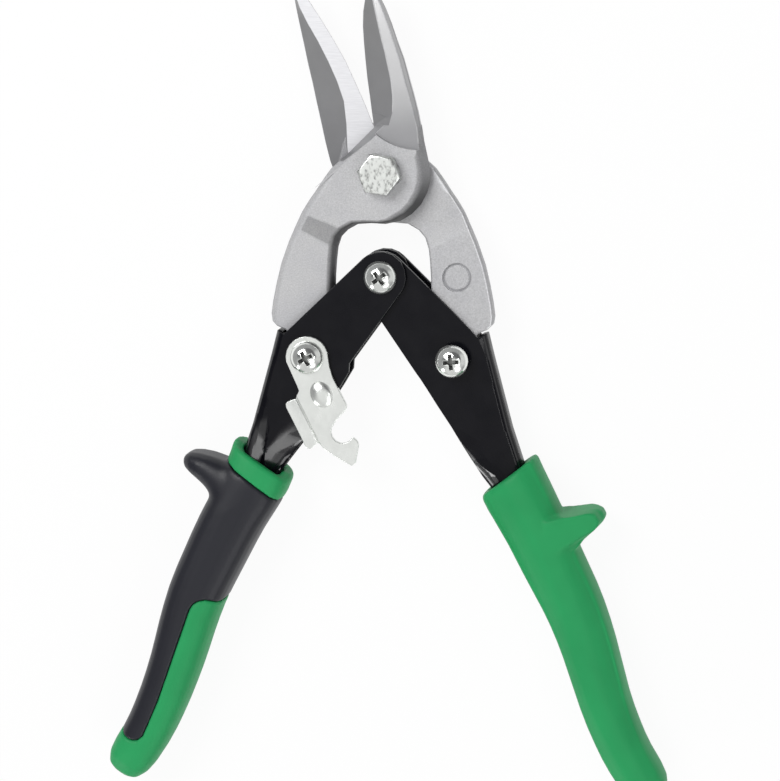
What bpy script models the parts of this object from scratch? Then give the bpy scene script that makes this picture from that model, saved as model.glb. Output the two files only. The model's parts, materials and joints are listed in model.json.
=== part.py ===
"""Compound-action aviation snips, right cut, 10 inch size.

The tool lies flat on its back: blades toward +Y, viewer toward +Z.
The main pivot axis is the Z axis through X = Y = 0, and the end of the pivot bolt rests on Z = 0.
Two forged blades turn on the pivot bolt.  Their tangs are pinned into two pressed steel channels,
which are pinned to each other at the toggle, so that closing the grips closes the jaws.
Lengths below are in millimetres; heights z are measured from the mid plane between the blades.
"""
import bpy
import bmesh
import math
from mathutils import Vector

MM = 0.001
MID = 11.0            # height of the mid plane over the resting plane
GAP = 0.3             # air between neighbouring solids

# Linkage in plan: main pivot, tang pivots and toggle pivot
PIVOT = (0.0, 0.0)
LEFT_TANG = (-22.0, -55.5)
RIGHT_TANG = (22.0, -55.5)
TOGGLE = (0.0, -31.0)

# Sheet of the handle channels and the offset that lets the two nest at the toggle
SHEET = 1.6
CHANNEL_INNER = 7.4
CHANNEL_HALF = CHANNEL_INNER / 2 + SHEET
NEST = SHEET + GAP
LEFT_Z = NEST / 2
RIGHT_Z = -NEST / 2
EAR_R = 7.7
BEND_R = 2.6

# Blade forgings
BODY_TOP = 6.4
BODY_FOOT = 0.35
SHEAR = 0.15
TANG_T = 7.0
TANG_END_R = 7.3
MILLED = 5.05

# Fasteners
BOLT_R = 4.0
BOLT_AF = 11.4
BOLT_HEAD = 4.5
NUT_AF = 12.5
SHOULDER_R = 3.1
THREAD_R = 2.4
HEAD_R = 5.0
HEAD_H = 3.0
SMALL_NUT_AF = 8.0

# Latch plate
LATCH_T = 1.6
LATCH_END_R = 6.45
LATCH_Z = LEFT_Z + CHANNEL_HALF + GAP
THROAT = (-11.1, -77.8)
THROAT_R = 3.5

# Return spring
WIRE = 1.1
COIL_R = 5.1
COIL_TURNS = 2

# Grips
WALL_GAP = 0.35

for old in list(bpy.data.objects):
    bpy.data.objects.remove(old, do_unlink=True)

PARTS = bpy.data.collections.new("aviation_snips")
CUTTERS = bpy.data.collections.new("cutters")
bpy.context.scene.collection.children.link(PARTS)
bpy.context.scene.collection.children.link(CUTTERS)


def finish_of(name, rgb, metallic, rough):
    """A plain material for one finish."""
    mat = bpy.data.materials.new(name)
    mat.use_nodes = True
    bsdf = mat.node_tree.nodes["Principled BSDF"]
    bsdf.inputs["Base Color"].default_value = (rgb[0], rgb[1], rgb[2], 1.0)
    bsdf.inputs["Metallic"].default_value = metallic
    bsdf.inputs["Roughness"].default_value = rough
    mat.diffuse_color = (rgb[0], rgb[1], rgb[2], 1.0)
    return mat


FORGED = finish_of("forged_steel", (0.50, 0.50, 0.51), 0.6, 0.45)
ZINC = finish_of("zinc_plate", (0.75, 0.77, 0.75), 1.0, 0.25)
BLACK = finish_of("black_enamel", (0.012, 0.012, 0.014), 0.0, 0.2)
GREEN = finish_of("green_grip", (0.027, 0.342, 0.107), 0.0, 0.4)
GREY = finish_of("grey_overmould", (0.040, 0.040, 0.051), 0.0, 0.55)
SPRING = finish_of("spring_wire", (0.30, 0.30, 0.31), 1.0, 0.35)


def at_height(p):
    """Plan point and mid plane height to metres."""
    return Vector((p[0] * MM, p[1] * MM, (p[2] + MID) * MM))


def solid(name, pts, faces, origin=PIVOT, mat=None):
    """Closed mesh with its origin on the given vertical axis; a piece with no material is a cutter."""
    base = Vector((origin[0] * MM, origin[1] * MM, MID * MM))
    mesh = bpy.data.meshes.new(name)
    bm = bmesh.new()
    verts = [bm.verts.new(at_height(p) - base) for p in pts]
    for face in faces:
        bm.faces.new([verts[i] for i in face])
    bmesh.ops.recalc_face_normals(bm, faces=bm.faces)
    bm.to_mesh(mesh)
    bm.free()
    ob = bpy.data.objects.new(name, mesh)
    ob.location = base
    if mat is None:
        CUTTERS.objects.link(ob)
        ob.hide_render = True
        ob.display_type = 'WIRE'
    else:
        PARTS.objects.link(ob)
        mesh.materials.append(mat)
    return ob


def loft(name, rings, origin=PIVOT, mat=None):
    """Skin through rings of equal count, with both ends closed."""
    count = len(rings[0])
    pts = [p for ring in rings for p in ring]
    faces = []
    for i in range(len(rings) - 1):
        for j in range(count):
            k = (j + 1) % count
            faces.append((i * count + j, i * count + k, (i + 1) * count + k, (i + 1) * count + j))
    faces.append(tuple(range(count)))
    last = (len(rings) - 1) * count
    faces.append(tuple(range(last, last + count)))
    return solid(name, pts, faces, origin, mat)


def prism(name, outline, z0, z1, origin=PIVOT, mat=None):
    """Plan outline raised from z0 to z1."""
    low = [(x, y, z0) for x, y in outline]
    high = [(x, y, z1) for x, y in outline]
    return loft(name, [low, high], origin, mat)


def circle(centre, radius, count=32, start=0.0):
    """Plan circle; the corners lie on the radius."""
    out = []
    for i in range(count):
        a = start + 2 * math.pi * i / count
        out.append((centre[0] + radius * math.cos(a), centre[1] + radius * math.sin(a)))
    return out


def hexagon(centre, across_flats, turn=0.0):
    return circle(centre, across_flats / 2 / math.cos(math.pi / 6), 6, turn)


def turned(name, centre, profile, steps=32, mat=None, ring=False):
    """Profile of (radius, z) from top to bottom, turned about a vertical axis; a ring's profile is a loop."""
    base = Vector((centre[0] * MM, centre[1] * MM, MID * MM))
    mesh = bpy.data.meshes.new(name)
    pts = [(r * MM, 0.0, z * MM) for r, z in profile]
    links = [(i, i + 1) for i in range(len(pts) - 1)]
    if ring:
        links.append((len(pts) - 1, 0))
    mesh.from_pydata(pts, links, [])
    ob = bpy.data.objects.new(name, mesh)
    ob.location = base
    spin = ob.modifiers.new("turn", 'SCREW')
    spin.axis = 'Z'
    spin.steps = steps
    spin.render_steps = steps
    spin.use_merge_vertices = True
    spin.merge_threshold = 0.00001
    if mat is None:
        CUTTERS.objects.link(ob)
        ob.hide_render = True
        ob.display_type = 'WIRE'
    else:
        PARTS.objects.link(ob)
        mesh.materials.append(mat)
    return ob


def boolean(ob, tool, kind):
    mod = ob.modifiers.new(kind.lower() + " " + tool.name, 'BOOLEAN')
    mod.operation = kind
    mod.object = tool
    mod.solver = 'EXACT'


def cut(ob, tool):
    boolean(ob, tool, 'DIFFERENCE')


def add(ob, tool):
    boolean(ob, tool, 'UNION')


def bore(ob, centre, radius, name):
    """Plain hole right through."""
    tool = prism(name, circle(centre, radius), -30, 30, centre)
    cut(ob, tool)


def lerp(a, b, t):
    return a + (b - a) * t


# Blades.  Each row of BLADE_ROWS is one section of the front forging from the throat to the tang's end:
# outer edge, inner edge, foot and top heights, then width and depth of the outer and the inner flank.
TANG_TOP = LEFT_Z + TANG_T / 2
TANG_FOOT = LEFT_Z - TANG_T / 2

BLADE_ROWS = [
    ((-2.0, 14.3), (11.6, 14.5), BODY_FOOT, BODY_TOP, 3.6, 5.2, 1.9, 4.4),
    ((-5.5, 10.75), (12.4, 9.5), BODY_FOOT, BODY_TOP, 3.1, 5.0, 2.0, 4.6),
    ((-9.5, 6.7), (13.4, 5.0), BODY_FOOT, BODY_TOP, 2.4, 4.6, 2.1, 4.8),
    ((-12.9, 3.6), (14.3, 1.0), BODY_FOOT, BODY_TOP, 1.8, 3.4, 2.2, 4.8),
    ((-15.4, 1.2), (14.3, -2.5), BODY_FOOT, BODY_TOP, 1.6, 2.6, 2.2, 4.8),
    ((-16.8, -0.8), (13.3, -5.9), BODY_FOOT, BODY_TOP, 1.5, 2.2, 2.2, 4.8),
    ((-18.1, -2.7), (11.5, -9.3), BODY_FOOT, BODY_TOP, 1.5, 2.0, 2.2, 4.8),
    ((-19.3, -4.5), (8.8, -12.2), BODY_FOOT, BODY_TOP, 1.5, 2.0, 2.1, 4.8),
    ((-20.4, -6.2), (5.4, -14.3), BODY_FOOT, BODY_TOP, 1.5, 2.0, 2.0, 4.6),
    ((-21.5, -7.7), (1.0, -15.3), BODY_FOOT, BODY_TOP, 1.5, 2.0, 1.8, 4.2),
    ((-22.4, -9.1), (-3.3, -15.1), BODY_FOOT, BODY_TOP, 1.5, 2.0, 1.7, 3.8),
    ((-23.2, -10.4), (-7.3, -15.4), BODY_FOOT, BODY_TOP, 1.5, 2.0, 1.7, 3.4),
    ((-24.1, -11.9), (-10.5, -17.2), BODY_FOOT, BODY_TOP, 1.5, 2.0, 1.7, 3.0),
    ((-25.2, -14.0), (-12.7, -19.4), -1.0, 5.5, 1.5, 2.0, 1.6, 2.8),
    ((-26.5, -16.5), (-14.0, -22.7), TANG_FOOT, TANG_TOP, 1.5, 2.0, 1.5, 2.6),
    ((-28.4, -20.9), (-14.4, -26.4), TANG_FOOT, TANG_TOP, 1.5, 2.0, 1.4, 2.4),
    ((-30.7, -27.4), (-14.7, -31.0), TANG_FOOT, TANG_TOP, 1.5, 2.0, 1.3, 2.2),
    ((-32.1, -33.1), (-14.8, -36.0), TANG_FOOT, TANG_TOP, 1.5, 2.0, 1.2, 2.0),
    ((-33.2, -38.8), (-14.8, -41.0), TANG_FOOT, TANG_TOP, 1.4, 1.8, 1.0, 1.6),
    ((-33.7, -42.8), (-14.7, -45.0), TANG_FOOT, TANG_TOP, 1.3, 1.6, 0.8, 1.2),
    ((-33.3, -45.2), (-14.7, -48.0), TANG_FOOT, TANG_TOP, 1.0, 1.2, 0.6, 0.8),
    ((-31.9, -46.6), (-14.7, -50.3), TANG_FOOT, TANG_TOP, 0.8, 1.0, 0.6, 0.8),
    ((-29.0, -47.7), (-14.7, -52.6), TANG_FOOT, TANG_TOP, 0.6, 0.8, 0.6, 0.8),
]
# The tang's end is round about its pin
for left_deg, right_deg in ((158, -4), (185, -28), (212, -51), (238, -72), (256, -86)):
    a = math.radians(left_deg)
    b = math.radians(right_deg)
    outer = (LEFT_TANG[0] + TANG_END_R * math.cos(a), LEFT_TANG[1] + TANG_END_R * math.sin(a))
    inner = (LEFT_TANG[0] + TANG_END_R * math.cos(b), LEFT_TANG[1] + TANG_END_R * math.sin(b))
    BLADE_ROWS.append((outer, inner, TANG_FOOT, TANG_TOP, 0.5, 0.8, 0.5, 0.8))


def blade_ring(row):
    """Eight-cornered section: flat foot and top, drafted flanks."""
    outer, inner, foot, top, wo, do, wi, di = row
    span = math.hypot(inner[0] - outer[0], inner[1] - outer[1])
    ux = (inner[0] - outer[0]) / span
    uy = (inner[1] - outer[1]) / span
    base = 0.5

    def along(s, z):
        return (outer[0] + ux * s, outer[1] + uy * s, z)

    return [along(base, foot), along(0, foot + base), along(0, top - do), along(wo, top),
            along(span - wi, top), along(span, top - di), along(span, foot + base), along(span - base, foot)]


def turned_over(rings):
    """The same forging turned half round about the tool's long axis, for the rear blade."""
    return [[(-x, y, -z) for x, y, z in ring] for ring in rings]


body_rings = [blade_ring(row) for row in BLADE_ROWS]

# Front jaw: cutting edge, ridge of the ground bevel, end of the land, outer side; then the two heights
FRONT_JAW = [
    ((-0.5, 4.5), (1.6, 5.0), (11.1, 4.5), (12.4, 4.5), 5.0, 3.4),
    ((-1.9, 9.0), (0.6, 9.6), (11.0, 9.0), (12.4, 9.0), 5.4, 4.1),
    ((-3.0, 14.0), (2.6, 14.0), (10.5, 14.0), (11.7, 14.0), 5.4, 4.1),
    ((-3.6, 18.0), (3.4, 18.5), (9.6, 18.5), (10.8, 18.4), 5.1, 3.8),
    ((-4.2, 22.5), (3.4, 23.0), (8.3, 23.0), (9.6, 23.0), 4.9, 3.7),
    ((-5.0, 28.0), (2.7, 28.5), (6.7, 28.6), (8.0, 28.5), 4.7, 3.5),
    ((-5.6, 33.5), (1.4, 34.1), (5.2, 34.2), (6.4, 34.1), 4.4, 3.3),
    ((-6.1, 39.0), (-0.2, 39.6), (3.2, 39.8), (4.3, 39.6), 4.0, 3.0),
    ((-6.4, 43.5), (-1.3, 44.2), (1.6, 44.4), (2.7, 44.2), 3.6, 2.7),
    ((-6.3, 48.0), (-2.4, 48.6), (-0.2, 48.8), (0.9, 48.6), 3.0, 2.2),
    ((-5.7, 52.0), (-3.4, 52.4), (-1.9, 52.6), (-1.0, 52.4), 2.2, 1.6),
    ((-4.9, 55.3), (-3.9, 55.5), (-3.2, 55.6), (-2.7, 55.4), 1.5, 1.1),
    ((-4.3, 56.9), (-4.0, 57.0), (-3.7, 57.0), (-3.5, 56.9), 1.0, 0.7),
]


def front_jaw_ring(row):
    edge, ridge, land, side, high, shoulder = row
    foot = (side[0] - 0.3, side[1], SHEAR)
    return [(edge[0], edge[1], SHEAR), (edge[0] - 0.02, edge[1], SHEAR + 0.25),
            (ridge[0], ridge[1], high), (land[0], land[1], high - 0.1),
            (side[0], side[1], shoulder), foot]


# Rear jaw: outer left side, boundary of the ground shear face, cutting edge, thickness
REAR_JAW = [
    ((-14.6, -3.0), (-9.5, -3.0), (-1.0, -1.0), 5.6),
    ((-16.9, 2.9), (-10.8, 3.2), (-1.0, 6.0), 5.6),
    ((-18.3, 8.3), (-11.2, 9.1), (-1.7, 12.0), 5.6),
    ((-19.6, 13.6), (-11.4, 14.2), (-3.4, 14.3), 5.5),
    ((-21.1, 20.2), (-12.2, 21.1), (-6.3, 21.3), 5.3),
    ((-22.4, 26.3), (-14.3, 27.1), (-9.0, 27.2), 5.0),
    ((-23.8, 32.3), (-17.0, 33.0), (-11.8, 33.1), 4.6),
    ((-25.0, 38.2), (-20.1, 38.9), (-15.2, 39.0), 4.1),
    ((-26.2, 43.9), (-23.4, 44.5), (-18.8, 44.8), 3.4),
    ((-27.1, 48.6), (-25.7, 49.0), (-21.8, 49.3), 2.6),
    ((-27.8, 53.0), (-27.2, 53.2), (-24.5, 53.3), 1.9),
    ((-28.1, 55.8), (-27.8, 55.9), (-26.4, 55.9), 1.3),
    ((-27.9, 57.0), (-27.7, 57.1), (-27.1, 57.0), 0.9),
]


def rear_jaw_ring(row):
    side, bound, edge, deep = row
    mid = 0.62 * deep
    back_x = lerp(side[0], edge[0], 0.22)
    relief_x = lerp(side[0], edge[0], 0.80)
    return [(edge[0], edge[1], -SHEAR), (bound[0], bound[1], -SHEAR), (side[0], side[1], -mid),
            (back_x, lerp(side[1], edge[1], 0.22), -deep),
            (relief_x, lerp(side[1], edge[1], 0.80), -0.85 * deep),
            (edge[0] + 0.02, edge[1], -SHEAR - 0.3)]


front_blade = loft("front_blade", body_rings, LEFT_TANG, FORGED)
add(front_blade, loft("front_jaw", [front_jaw_ring(r) for r in FRONT_JAW]))
# The land of the jaw is milled below the boss, leaving a curved step
cut(front_blade, prism("jaw_mill", circle((11.0, 27.0), 19.7, 72), MILLED, 14.0))
bore(front_blade, PIVOT, BOLT_R + GAP, "front_pivot_bore")
bore(front_blade, LEFT_TANG, SHOULDER_R + GAP, "front_tang_bore")

rear_blade = loft("rear_blade", turned_over(body_rings), PIVOT, FORGED)
add(rear_blade, loft("rear_jaw", [rear_jaw_ring(r) for r in REAR_JAW]))
bore(rear_blade, PIVOT, BOLT_R + GAP, "rear_pivot_bore")
# The tang hole is eased, because the toggle's arc and the tang's arc differ by 0.4 mm in mid stroke
bore(rear_blade, RIGHT_TANG, SHOULDER_R + 0.75, "rear_tang_bore")
# Plain round stamp on the tang
cut(rear_blade, prism("tang_stamp", circle((22.6, -31.0), 4.3), RIGHT_Z + TANG_T / 2 - 0.45, 20.0))

# Pivot bolt and its nut
head_foot = BODY_TOP + GAP
head_top = head_foot + BOLT_HEAD
pivot_bolt = prism("pivot_bolt", hexagon(PIVOT, BOLT_AF, math.radians(-8)), head_foot, head_top, PIVOT, ZINC)
boolean(pivot_bolt, turned("bolt_chamfer", PIVOT, [
    (0.0, head_top + 0.02), (0.46 * BOLT_AF, head_top + 0.02), (0.64 * BOLT_AF, head_top - 0.95),
    (0.64 * BOLT_AF, head_foot - 1.0), (0.0, head_foot - 1.0)], 48), 'INTERSECT')
add(pivot_bolt, turned("bolt_shank", PIVOT, [
    (0.0, head_foot + 1.0), (BOLT_R, head_foot + 1.0), (BOLT_R, 0.8 - MID), (BOLT_R - 0.8, -MID), (0.0, -MID)]))
nut_top = -BODY_TOP - GAP
pivot_nut = prism("pivot_nut", hexagon(PIVOT, NUT_AF, math.radians(12)), nut_top - 3.8, nut_top, PIVOT, ZINC)
boolean(pivot_nut, turned("nut_chamfer", PIVOT, [
    (0.0, nut_top + 0.5), (0.7 * NUT_AF, nut_top + 0.5), (0.7 * NUT_AF, nut_top - 2.9),
    (0.46 * NUT_AF, nut_top - 3.9), (0.0, nut_top - 3.9)], 48), 'INTERSECT')
bore(pivot_nut, PIVOT, BOLT_R + GAP, "nut_bore")


# Handle channels.  Stations run from the round ear at the toggle to the end inside the grip.
# All plan points are written for the right-hand side.
CORNER = (28.9, -48.2)
RIGHT_STATIONS = [
    ((10.2, -59.3), (31.7, -47.7), 0.0), ((12.1, -61.9), (32.6, -51.3), 0.0), ((13.9, -64.6), (33.5, -54.9), 0.0),
    ((17.4, -70.1), (35.6, -62.9), 0.2), ((20.8, -75.3), (37.5, -69.9), 0.7), ((24.0, -80.7), (39.3, -76.5), 1.4),
    ((27.3, -86.2), (41.5, -83.1), 2.2), ((30.7, -91.5), (43.6, -89.3), 3.0),
]
# The left one is wider below a small shoulder, where the latch is pinned to it
LEFT_STATIONS = [
    ((9.3, -57.2), (31.7, -47.7), 0.0), ((9.5, -59.9), (32.6, -51.3), 0.0), ((12.3, -64.7), (33.5, -54.9), 0.0),
    ((15.9, -70.4), (35.6, -62.9), 0.2), ((19.4, -75.7), (37.5, -69.9), 0.7), ((23.0, -80.9), (39.3, -76.5), 1.4),
    ((27.1, -86.3), (41.5, -83.1), 2.2), ((31.0, -91.5), (43.6, -89.3), 3.0),
]
# Plan centre lines of the two grips, which are different mouldings, both written for the right-hand side
LEFT_SPINE = [(35.7, -85.3), (39.1, -93.9), (46.7, -107.8), (52.0, -118.7), (57.0, -129.5), (60.5, -139.9),
              (63.5, -150.3), (67.4, -161.5), (71.6, -171.3), (74.9, -177.3), (77.7, -181.6), (81.6, -187.7)]
RIGHT_SPINE = [(36.3, -85.1), (40.0, -93.4), (47.4, -107.4), (52.9, -118.3), (58.3, -129.0), (62.4, -139.2),
               (65.7, -149.6), (69.2, -160.8), (73.2, -170.5), (76.2, -176.4), (79.5, -181.7), (84.4, -189.4)]
TUBE_SPINE = []
for a, b in zip(LEFT_SPINE, RIGHT_SPINE):
    TUBE_SPINE.append((0.75 * a[0] + 0.25 * b[0], 0.75 * a[1] + 0.25 * b[1]))


def across(i, path):
    """Unit vector across the path at point i, toward the outside of the tool."""
    a = path[max(i - 1, 0)]
    b = path[min(i + 1, len(path) - 1)]
    d = math.hypot(b[0] - a[0], b[1] - a[1])
    return (-(b[1] - a[1]) / d, (b[0] - a[0]) / d)


TUBE_HALF = 5.6
for index in range(1, 9):
    nx, ny = across(index, TUBE_SPINE)
    cx, cy = TUBE_SPINE[index]
    half = TUBE_HALF - 0.1 * index
    if index == 8:
        cx, cy = 69.7, -166.0
    for stations in (LEFT_STATIONS, RIGHT_STATIONS):
        stations.append(((cx - nx * half, cy - ny * half), (cx + nx * half, cy + ny * half), 3.4))


def stations_of(side):
    return RIGHT_STATIONS if side > 0 else LEFT_STATIONS


def ear_stations(side):
    """Pairs of inner and upper edge points from the round ear down to the web's corner."""
    out = []
    for swing in (12, 32, 52, 70, 82.7):
        a = math.radians(129.6 - swing)
        b = math.radians(129.6 + swing)
        up = (TOGGLE[0] + EAR_R * math.cos(a), TOGGLE[1] + EAR_R * math.sin(a))
        low = (TOGGLE[0] + EAR_R * math.cos(b), TOGGLE[1] + EAR_R * math.sin(b))
        out.append((low, up))
    low0, up0 = out[-1]
    inner_end = stations_of(side)[0][0]
    for t in (0.25, 0.5, 0.75):
        low = (lerp(low0[0], inner_end[0], t), lerp(low0[1], inner_end[1], t))
        up = (lerp(up0[0], CORNER[0], t), lerp(up0[1], CORNER[1], t))
        out.append((low, up))
    return out


def channel(name, side, zc, origin):
    """U-section pressing as an open surface, thickened inward."""
    h = CHANNEL_HALF
    verts = []
    front = []
    rear = []
    turns = []

    def point(low, high, s, z):
        verts.append((side * lerp(low[0], high[0], s), lerp(low[1], high[1], s), zc + z))
        return len(verts) - 1

    for low, up in ear_stations(side):
        front.append([point(low, up, s, h) for s in (0.0, 0.3, 0.65, 1.0)])
        rear.append([point(low, up, s, -h) for s in (0.0, 0.3, 0.65, 1.0)])
        turns.append(None)
    for low, web, roll in stations_of(side):
        span = math.hypot(web[0] - low[0], web[1] - low[1])
        b = 1.0 - BEND_R / span
        m = 1.0 - 0.29 * BEND_R / span
        k = 0.3 if roll < 1.0 else 0.34
        for grid, sign in ((front, 1.0), (rear, -1.0)):
            grid.append([point(low, web, 0.0, sign * (h - roll)),
                         point(low, web, k, sign * (h - 0.22 * roll)),
                         point(low, web, lerp(k, b, 0.5), sign * h), point(low, web, b, sign * h)])
        turns.append([point(low, web, m, h - 0.29 * BEND_R), point(low, web, 1.0, h - BEND_R),
                      point(low, web, 1.0, BEND_R - h), point(low, web, m, 0.29 * BEND_R - h)])
    faces = []
    for i in range(len(front) - 1):
        for grid in (front, rear):
            for j in range(3):
                faces.append((grid[i][j], grid[i + 1][j], grid[i + 1][j + 1], grid[i][j + 1]))
        if turns[i]:
            a = [front[i][3]] + turns[i] + [rear[i][3]]
            c = [front[i + 1][3]] + turns[i + 1] + [rear[i + 1][3]]
            for j in range(5):
                faces.append((a[j], c[j], c[j + 1], a[j + 1]))
    ob = solid(name, verts, faces, origin, BLACK)
    return ob


def thicken(ob, inward):
    wall = ob.modifiers.new("sheet", 'SOLIDIFY')
    wall.thickness = SHEET * MM
    wall.offset = inward
    wall.use_even_offset = True


def face_outward(ob, centre):
    """Turns the open surface so that the flange over the viewer faces +Z."""
    bm = bmesh.new()
    bm.from_mesh(ob.data)
    top = max(bm.faces, key=lambda f: f.calc_center_median().z)
    if top.normal.z < 0:
        bmesh.ops.reverse_faces(bm, faces=bm.faces)
    bm.to_mesh(ob.data)
    bm.free()


left_channel = channel("left_channel", -1.0, LEFT_Z, TOGGLE)
right_channel = channel("right_channel", 1.0, RIGHT_Z, TOGGLE)
for ch, tang in ((left_channel, LEFT_TANG), (right_channel, RIGHT_TANG)):
    # Two loose sheets and a web form one surface below the corner, so all faces share one sense
    face_outward(ch, tang)
    thicken(ch, -1.0)
    bore(ch, tang, SHOULDER_R + GAP, ch.name + "_tang_hole")
    bore(ch, TOGGLE, SHOULDER_R + GAP, ch.name + "_toggle_hole")


# Shoulder screws with domed heads and cross recesses, and their nuts
def cross_ring(centre, arm, half, z, turn):
    pts = [(arm, half), (half, half), (half, arm), (-half, arm), (-half, half), (-arm, half),
           (-arm, -half), (-half, -half), (-half, -arm), (half, -arm), (half, -half), (arm, -half)]
    c = math.cos(turn)
    s = math.sin(turn)
    return [(centre[0] + c * x - s * y, centre[1] + s * x + c * y, z) for x, y in pts]


def shoulder_screw(name, centre, under_head, shoulder_end, end, turn):
    z = under_head
    ob = turned(name, centre, [
        (0.0, z + HEAD_H), (1.6, z + 0.96 * HEAD_H), (3.0, z + 0.80 * HEAD_H), (4.1, z + 0.55 * HEAD_H),
        (4.75, z + 0.28 * HEAD_H), (HEAD_R, z + 0.1), (HEAD_R - 0.1, z), (SHOULDER_R, z),
        (SHOULDER_R, shoulder_end), (THREAD_R, shoulder_end), (THREAD_R, end + 0.4), (THREAD_R - 0.4, end),
        (0.0, end)], 32, ZINC)
    cut(ob, loft(name + "_recess", [cross_ring(centre, 2.9, 0.62, z + HEAD_H + 0.4, turn),
                                    cross_ring(centre, 1.2, 0.45, z + 1.0, turn)], centre))
    return ob


def small_nut(name, centre, top, thick, turn):
    ob = prism(name, hexagon(centre, SMALL_NUT_AF, turn), top - thick, top, centre, ZINC)
    boolean(ob, turned(name + "_chamfer", centre, [
        (0.0, top + 0.5), (0.7 * SMALL_NUT_AF, top + 0.5), (0.7 * SMALL_NUT_AF, top - thick + 0.8),
        (0.45 * SMALL_NUT_AF, top - thick - 0.05), (0.0, top - thick - 0.05)], 40), 'INTERSECT')
    bore(ob, centre, THREAD_R + GAP, name + "_bore")
    return ob


LATCH_HEAD = LATCH_Z + LATCH_T + GAP
left_back = LEFT_Z - CHANNEL_HALF
right_back = RIGHT_Z - CHANNEL_HALF
shoulder_screw("left_tang_screw", LEFT_TANG, LATCH_HEAD, left_back - 0.15, left_back - 4.4, 0.5)
small_nut("left_tang_nut", LEFT_TANG, left_back - 0.15 - GAP, 3.9, 0.3)
shoulder_screw("right_tang_screw", RIGHT_TANG, LATCH_HEAD, right_back - 0.1, 0.5 - MID, 0.1)
small_nut("right_tang_nut", RIGHT_TANG, right_back - 0.1 - GAP, 3.7, 0.1)
shoulder_screw("toggle_screw", TOGGLE, LEFT_Z + CHANNEL_HALF + GAP, right_back - 0.1, 0.5 - MID, 0.65)
small_nut("toggle_nut", TOGGLE, right_back - 0.1 - GAP, 3.7, 0.5)

# Sleeve that keeps the ears apart and carries the spring's coil
sleeve_half = RIGHT_Z + CHANNEL_INNER / 2 - GAP
turned("toggle_sleeve", TOGGLE, [(SHOULDER_R + GAP, sleeve_half), (SHOULDER_R + 0.9, sleeve_half),
                                 (SHOULDER_R + 0.9, -sleeve_half), (SHOULDER_R + GAP, -sleeve_half)],
       32, ZINC, True)

# Return spring: torsion coil round the sleeve, a leg against each tang
leg_tip = (13.7, -48.2)
aim = math.atan2(leg_tip[1] - TOGGLE[1], leg_tip[0])
reach = math.hypot(leg_tip[0], leg_tip[1] - TOGGLE[1])
leave = aim + math.acos(COIL_R / reach)
sweep = (math.pi - 2 * leave) + COIL_TURNS * 2 * math.pi
rise = 2 * (sleeve_half - WIRE / 2)
start_z = rise / 2
steps = 26
path = []
for t in (0.0, 0.5):
    path.append((lerp(-leg_tip[0], -COIL_R * math.cos(leave), t),
                 lerp(leg_tip[1], TOGGLE[1] + COIL_R * math.sin(leave), t), start_z))
for i in range(steps + 1):
    angle = math.pi - leave - sweep * i / steps
    path.append((COIL_R * math.cos(angle), TOGGLE[1] + COIL_R * math.sin(angle), start_z - rise * i / steps))
for t in (0.5, 1.0):
    path.append((lerp(COIL_R * math.cos(leave), leg_tip[0], t),
                 lerp(TOGGLE[1] + COIL_R * math.sin(leave), leg_tip[1], t), -start_z))


def tube(name, points, diameter, origin, mat):
    """Round wire along a polyline, as one closed mesh."""
    base = Vector((origin[0] * MM, origin[1] * MM, MID * MM))
    curve = bpy.data.curves.new(name + "_path", 'CURVE')
    curve.dimensions = '3D'
    curve.bevel_depth = diameter * MM / 2
    curve.bevel_resolution = 1
    curve.use_fill_caps = True
    line = curve.splines.new('POLY')
    line.points.add(len(points) - 1)
    for spot, p in zip(line.points, points):
        v = at_height(p) - base
        spot.co = (v.x, v.y, v.z, 1.0)
    guide = bpy.data.objects.new(name + "_path", curve)
    CUTTERS.objects.link(guide)
    graph = bpy.context.evaluated_depsgraph_get()
    mesh = bpy.data.meshes.new_from_object(guide.evaluated_get(graph))
    bpy.data.objects.remove(guide, do_unlink=True)
    bm = bmesh.new()
    bm.from_mesh(mesh)
    bmesh.ops.remove_doubles(bm, verts=bm.verts, dist=0.000001)
    bmesh.ops.recalc_face_normals(bm, faces=bm.faces)
    bm.to_mesh(mesh)
    bm.free()
    mesh.name = name
    mesh.materials.clear()
    mesh.materials.append(mat)
    ob = bpy.data.objects.new(name, mesh)
    ob.location = base
    PARTS.objects.link(ob)
    return ob


tube("return_spring", path, WIRE, TOGGLE, SPRING)
closest = 1e9
fine = []
for a, b in zip(path, path[1:]):
    for i in range(6):
        fine.append(tuple(lerp(a[c], b[c], i / 6) for c in range(3)))
for i in range(len(fine)):
    for j in range(i + 60, len(fine)):
        closest = min(closest, math.dist(fine[i], fine[j]))
print("return_spring least gap to itself, mm:", round(closest - WIRE, 3))


# Latch: flat plate on the left tang pin, with a hook, a pressed dimple and a raised thumb tab
def latch_outline():
    out = []
    for deg in range(0, 208, 16):
        a = math.radians(deg)
        out.append((LEFT_TANG[0] + LATCH_END_R * math.cos(a), LEFT_TANG[1] + LATCH_END_R * math.sin(a)))
    out += [(-25.0, -64.1), (-24.4, -65.6), (-24.2, -67.1), (-21.7, -71.8), (-19.7, -76.6), (-18.0, -80.9),
            (-17.4, -82.4), (-16.1, -83.6), (-13.6, -85.1), (-9.6, -87.4), (-8.2, -88.1), (-7.1, -87.3),
            (-6.6, -84.7), (-6.1, -81.9), (-6.4, -80.7), (-7.0, -80.0)]
    for deg in (-27, -50, -75, -100, -125, -150, -175, -196):
        a = math.radians(deg)
        out.append((THROAT[0] + THROAT_R * math.cos(a), THROAT[1] + THROAT_R * math.sin(a)))
    out += [(-12.9, -74.2), (-10.7, -71.9), (-9.9, -70.7), (-9.8, -69.9), (-10.1, -69.0), (-12.4, -64.7),
            (-14.2, -61.2), (-15.1, -58.3)]
    return out


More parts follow.
